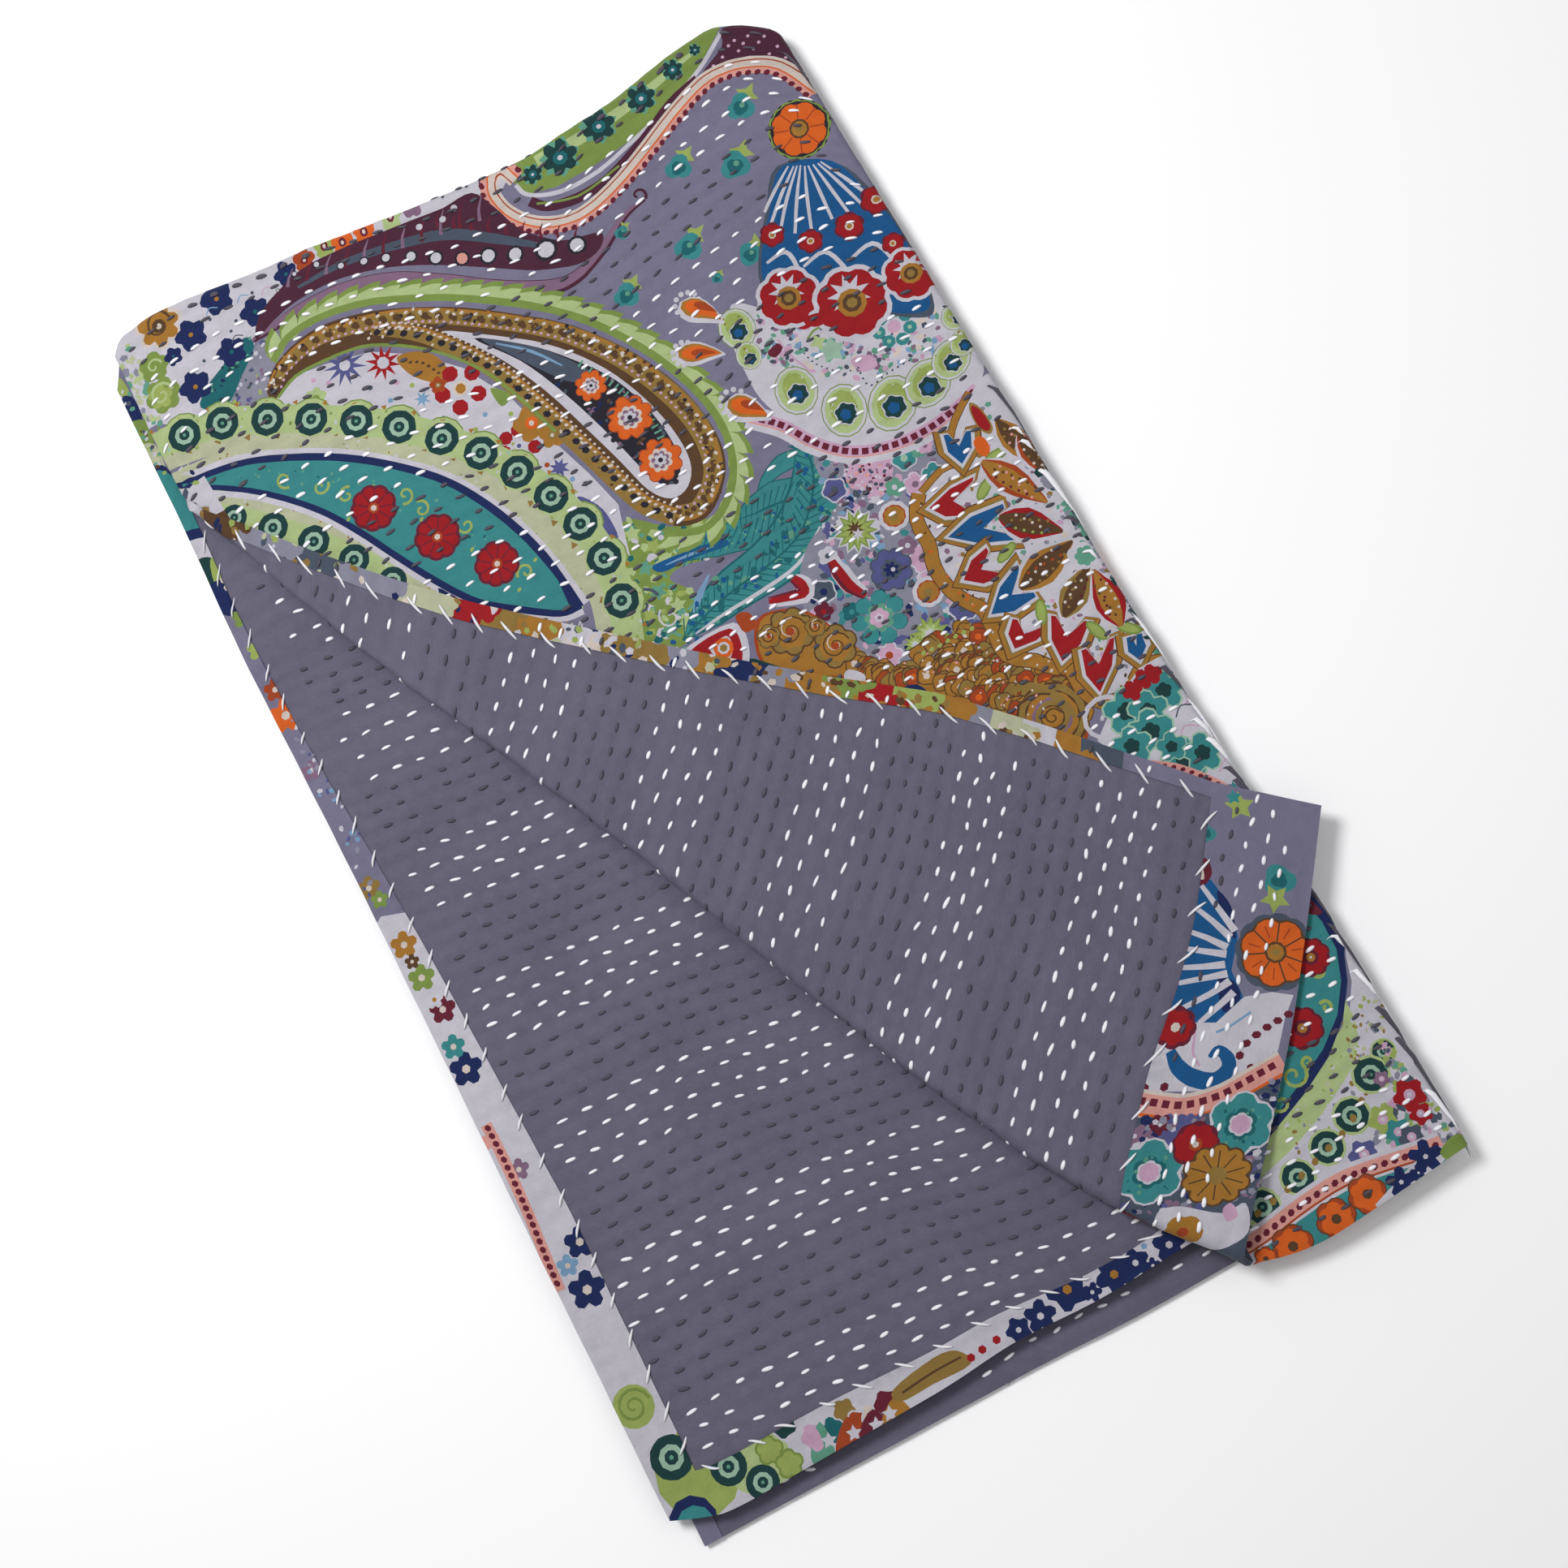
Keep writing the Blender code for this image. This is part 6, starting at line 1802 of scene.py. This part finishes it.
def whipStitches(name, line, inward, towards, onBand=0.55):
    # Line runs along the hem's inner edge on the flat quilt; inward is the side of the grey
    size = whips[name]
    lengths = np.concatenate([[0], np.cumsum(np.linalg.norm(np.diff(line, axis=0), axis=1))])
    count = int(lengths[-1] / size["step"])
    at = (np.arange(count) + 0.5) * size["step"] + dice.normal(0, 0.0015, count)
    spot = np.stack([np.interp(at, lengths, line[:, k]) for k in (0, 1)], axis=1)
    ahead = np.stack([np.interp(at + 0.004, lengths, line[:, k]) for k in (0, 1)], axis=1)
    along = ahead - spot
    along /= np.linalg.norm(along, axis=1)[:, None] + 1e-9
    across = np.stack([-along[:, 1], along[:, 0]], axis=1)
    across *= np.sign((across * inward).sum(axis=1))[:, None]
    share = np.linspace(0, 1, 9)
    reach = size["along"] * dice.uniform(0.8, 1.15, count) * towards
    wide = size["across"] * dice.uniform(0.85, 1.2, count)
    inside = share[None] - onBand
    sway = np.sin(math.pi * share)[None] * dice.normal(0, 0.0006, count)[:, None]
    px = spot[:, None] + along[:, None] * (reach[:, None] * (share[None] - 0.5))[..., None]
    px = px + across[:, None] * (wide[:, None] * inside + sway)[..., None]
    step = ease(0.5 - wide[:, None] * inside / 0.0028)
    arch = stitchSizes["whipLift"] * np.sqrt(np.clip(1 - np.abs(2 * share - 1) ** 3, 0, 1)) - 0.0004
    height = arch[None] + (hemDepth - sheetDepth) * step
    middles = np.concatenate([px, height[..., None]], axis=2)
    half = np.full(count, 0.5 * stitchSizes["whipThick"])
    points, faces = capsules(middles, half, half)
    return onCloth(points, "grey"), faces


def hemEdge(x0, y0, x1, y1):
    share = np.linspace(0, 1, 120)[:, None]
    return cutPattern(np.array((x0, y0)) + share * np.array((x1 - x0, y1 - y0)))


side, near = hemLines["side"], hemLines["near"]
whipParts = [
    whipStitches("flapSide", hemEdge(pack["leftTop"] + side, 0.285, pack["leftTop"] + side, pack["near"] + near),
        (1, 0), 1),
    whipStitches("flapNear", hemEdge(pack["leftTop"] + side, pack["near"] + near, 0.09, pack["near"] + near), (0,
        1), 1),
    whipStitches("secondNear", hemEdge(secondEdge - side, pack["near"] + near, rightEnd + 0.10,
        pack["near"] + near), (0, 1), -1),
    whipStitches("secondSide", hemEdge(secondEdge - side, 0.29, secondEdge - side, pack["near"] + near), (-1, 0), -1),
]

for name, parts, slotName in (
    ("white_running_stitches", white, "grey_cotton"),
    ("dark_running_stitches", dark, "grey_cotton"),
    ("white_whip_stitches", whipParts, "grey_cotton"),
):
    points, faces = joined([(points, facedOut(points, faces)) for points, faces in parts if len(faces)])
    piece = newPiece(name, points, faces)
    piece.data.shade_smooth()
    print(name, len(faces), "triangles")
threads = {name: bpy.data.objects[name] for name in ("white_running_stitches", "dark_running_stitches",
    "white_whip_stitches")}


# Finishes. One group gives both cloths their weave and unevenness
def addNode(tree, kind, **values):
    node = tree.nodes.new(kind)
    for name, value in values.items():
        if name in node.inputs:
            node.inputs[name].default_value = value
        else:
            setattr(node, name, value)
    return node


def math2(tree, operation, first, second, clamp=False):
    node = tree.nodes.new("ShaderNodeMath")
    node.operation, node.use_clamp = operation, clamp
    for socket, value in zip(node.inputs, (first, second)):
        if isinstance(value, (int, float)):
            socket.default_value = value
        else:
            tree.links.new(value, socket)
    return node.outputs[0]


def weaveGroup():
    group = bpy.data.node_groups.new("hand sewn cotton", "ShaderNodeTree")
    face = group.interface
    face.new_socket("Flat Place", in_out="INPUT", socket_type="NodeSocketVector")
    for name, value in (("Thread Size", 0.0006), ("Weave Depth", 0.5), ("Unevenness", 0.1), ("Wrinkles", 0.5)):
        face.new_socket(name, in_out="INPUT", socket_type="NodeSocketFloat").default_value = value
    for name in ("Shade", "Height"):
        face.new_socket(name, in_out="OUTPUT", socket_type="NodeSocketFloat")
    given, result = group.nodes.new("NodeGroupInput"), group.nodes.new("NodeGroupOutput")
    link = group.links.new
    parts = group.nodes.new("ShaderNodeSeparateXYZ")
    link(given.outputs["Flat Place"], parts.inputs[0])
    waves = []
    for axis in (0, 1):
        turns = math2(group, "DIVIDE", parts.outputs[axis], given.outputs["Thread Size"])
        waves.append(math2(group, "SINE", math2(group, "MULTIPLY", turns, 2 * math.pi), 0))
    weave = math2(group, "MULTIPLY", waves[0], waves[1])
    slub = addNode(group, "ShaderNodeTexNoise", Scale=900.0, Detail=2.0)
    stretched = addNode(group, "ShaderNodeMapping")
    stretched.inputs["Scale"].default_value = (0.25, 1, 1)
    link(given.outputs["Flat Place"], stretched.inputs["Vector"])
    link(stretched.outputs["Vector"], slub.inputs["Vector"])
    dye = addNode(group, "ShaderNodeTexNoise", Scale=120.0, Detail=4.0)
    wide = addNode(group, "ShaderNodeTexNoise", Scale=14.0, Detail=2.0)
    wrinkle = addNode(group, "ShaderNodeTexNoise", Scale=170.0, Detail=3.0, Distortion=0.6)
    gathered = addNode(group, "ShaderNodeMapping")
    gathered.inputs["Scale"].default_value = (1, 0.45, 1)
    link(given.outputs["Flat Place"], gathered.inputs["Vector"])
    link(gathered.outputs["Vector"], wrinkle.inputs["Vector"])
    for node in (dye, wide):
        link(given.outputs["Flat Place"], node.inputs["Vector"])
    uneven = math2(group, "ADD", dye.outputs["Fac"], wide.outputs["Fac"])
    uneven = math2(group, "ADD", uneven, slub.outputs["Fac"])
    uneven = math2(group, "MULTIPLY", math2(group, "SUBTRACT", uneven, 1.5), given.outputs["Unevenness"])
    grain = math2(group, "MULTIPLY", math2(group, "MULTIPLY", weave, given.outputs["Weave Depth"]), 0.08)
    shade = math2(group, "ADD", math2(group, "ADD", uneven, grain), 1)
    link(shade, result.inputs["Shade"])
    height = math2(group, "MULTIPLY", weave, given.outputs["Weave Depth"])
    folds = math2(group, "MULTIPLY", wrinkle.outputs["Fac"], given.outputs["Wrinkles"])
    link(math2(group, "ADD", height, math2(group, "MULTIPLY", folds, 10)), result.inputs["Height"])
    return group


cottonGroup = weaveGroup()


def clothMaterial(name, colour, finish):
    made = bpy.data.materials.new(name)
    made.use_nodes = True
    tree = made.node_tree
    shader = tree.nodes["Principled BSDF"]
    where = addNode(tree, "ShaderNodeUVMap", uv_map="flat")
    cotton = tree.nodes.new("ShaderNodeGroup")
    cotton.node_tree = cottonGroup
    for key in ("Thread Size", "Weave Depth", "Unevenness", "Wrinkles"):
        cotton.inputs[key].default_value = finish[key]
    tree.links.new(where.outputs["UV"], cotton.inputs["Flat Place"])
    # Painted shade: the colour is darkened along the stitch rows, where the cloth dips, by the relief mask
    relief = addNode(tree, "ShaderNodeAttribute", attribute_name="relief")
    low = math2(tree, "ADD", math2(tree, "MULTIPLY", relief.outputs["Fac"], finish["paintedValleyShade"]), 1 - finish["paintedValleyShade"])
    shade = math2(tree, "MULTIPLY", cotton.outputs["Shade"], low)
    tint = tree.nodes.new("ShaderNodeVectorMath")
    tint.operation = "SCALE"
    if colour == "ink":
        ink = addNode(tree, "ShaderNodeVertexColor", layer_name="ink")
        tree.links.new(ink.outputs["Color"], tint.inputs[0])
    else:
        tint.inputs[0].default_value = linear(colour)
    tree.links.new(shade, tint.inputs["Scale"])
    tree.links.new(tint.outputs["Vector"], shader.inputs["Base Color"])
    bump = addNode(tree, "ShaderNodeBump", Strength=finish["bump"], Distance=0.0001)
    tree.links.new(cotton.outputs["Height"], bump.inputs["Height"])
    tree.links.new(bump.outputs["Normal"], shader.inputs["Normal"])
    shader.inputs["Roughness"].default_value = finish["roughness"]
    shader.inputs["Specular IOR Level"].default_value = 0.25
    shader.inputs["Sheen Weight"].default_value = finish["sheen"]
    shader.inputs["Sheen Roughness"].default_value = 0.4
    return made


# The valley shade entry is painted shade: how much the colour is darkened along the stitch rows
printFinish = {"Thread Size": 0.0007, "Weave Depth": 0.6, "Unevenness": 0.22, "Wrinkles": 0.30,
               "paintedValleyShade": 0.10, "bump": 0.8, "roughness": 0.85, "sheen": 0.05}
greyFinish = {"Thread Size": 0.0007, "Weave Depth": 0.8, "Unevenness": 0.30, "Wrinkles": 0.35,
              "paintedValleyShade": 0.10, "bump": 0.9, "roughness": 0.9, "sheen": 0.06}
printCloth.data.materials.append(clothMaterial("printed cotton", "ink", printFinish))
greyCloth.data.materials.append(clothMaterial("grey cotton", "625f71", greyFinish))


def threadGroup():  # twisted thread: shade 1 + twist * (noise - 0.5)
    group = bpy.data.node_groups.new("twisted thread", "ShaderNodeTree")
    face = group.interface
    face.new_socket("Place", in_out="INPUT", socket_type="NodeSocketVector")
    face.new_socket("Twist", in_out="INPUT", socket_type="NodeSocketFloat").default_value = 0.2
    for name in ("Shade", "Height"):
        face.new_socket(name, in_out="OUTPUT", socket_type="NodeSocketFloat")
    given, result = group.nodes.new("NodeGroupInput"), group.nodes.new("NodeGroupOutput")
    noise = addNode(group, "ShaderNodeTexNoise", Scale=700.0, Detail=3.0)
    group.links.new(given.outputs["Place"], noise.inputs["Vector"])
    offset = math2(group, "SUBTRACT", noise.outputs["Fac"], 0.5)
    offset = math2(group, "MULTIPLY", offset, given.outputs["Twist"])
    group.links.new(math2(group, "ADD", offset, 1), result.inputs["Shade"])
    group.links.new(noise.outputs["Fac"], result.inputs["Height"])
    return group


twistedThread = threadGroup()


def threadMaterial(name, colour, twist):
    made = bpy.data.materials.new(name)
    made.use_nodes = True
    tree = made.node_tree
    shader = tree.nodes["Principled BSDF"]
    where = tree.nodes.new("ShaderNodeTexCoord")
    thread = tree.nodes.new("ShaderNodeGroup")
    thread.node_tree = twistedThread
    thread.inputs["Twist"].default_value = twist
    tree.links.new(where.outputs["Object"], thread.inputs["Place"])
    tint = tree.nodes.new("ShaderNodeVectorMath")
    tint.operation = "SCALE"
    tint.inputs[0].default_value = linear(colour)
    tree.links.new(thread.outputs["Shade"], tint.inputs["Scale"])
    tree.links.new(tint.outputs["Vector"], shader.inputs["Base Color"])
    bump = addNode(tree, "ShaderNodeBump", Strength=0.6, Distance=0.0002)
    tree.links.new(thread.outputs["Height"], bump.inputs["Height"])
    tree.links.new(bump.outputs["Normal"], shader.inputs["Normal"])
    shader.inputs["Roughness"].default_value = 0.7
    shader.inputs["Sheen Weight"].default_value = 0.1
    return made


for name, colour, twist in (
    ("white_running_stitches", "e9e8ee", 0.16),
    ("dark_running_stitches", "403c4a", 0.30),
    ("white_whip_stitches", "dedde2", 0.20),
):
    threads[name].data.materials.append(threadMaterial(name.replace("_", " "), colour, twist))


def plainMaterial(name, color, roughness=0.85):
    made = bpy.data.materials.new(name)
    made.use_nodes = True
    shader = made.node_tree.nodes["Principled BSDF"]
    shader.inputs["Base Color"].default_value = (*color, 1)
    shader.inputs["Roughness"].default_value = roughness
    return made



bpy.ops.mesh.primitive_plane_add(size=8, location=(0, 0, -0.0010))
floor = bpy.context.object
floor.name = "floor"
floor.data.materials.append(plainMaterial("pale floor", (0.95, 0.95, 0.96), 0.9))

world = bpy.data.worlds.new("studio")
bpy.context.scene.world = world
world.use_nodes = True
world.node_tree.nodes["Background"].inputs["Color"].default_value = (1, 1, 1, 1)
world.node_tree.nodes["Background"].inputs["Strength"].default_value = 0.35


def softLight(name, location, size, power):
    data = bpy.data.lights.new(name, "AREA")
    data.shape, data.size, data.energy = "DISK", size, power
    light = bpy.data.objects.new(name, data)
    light.location = location
    light.rotation_euler = (-Vector(location)).to_track_quat("-Z", "Y").to_euler()
    bpy.context.scene.collection.objects.link(light)


softLight("key light", (-0.55, 0.75, 1.75), 0.7, 30)
softLight("fill light", (1.2, -0.3, 2.0), 1.8, 8)

camera = bpy.data.objects.new("camera", bpy.data.cameras.new("camera"))
camera.data.lens, camera.data.sensor_width = 48.45, 36
camera.matrix_world = Matrix((
    (0.8696, 0.4898, 0.0626, 0.0798),
    (-0.4673, 0.8573, -0.2161, -0.3327),
    (-0.1595, 0.1586, 0.9744, 1.2743),
    (0, 0, 0, 1),
))
bpy.context.scene.collection.objects.link(camera)
bpy.context.scene.camera = camera
bpy.context.scene.view_settings.view_transform = "Standard"
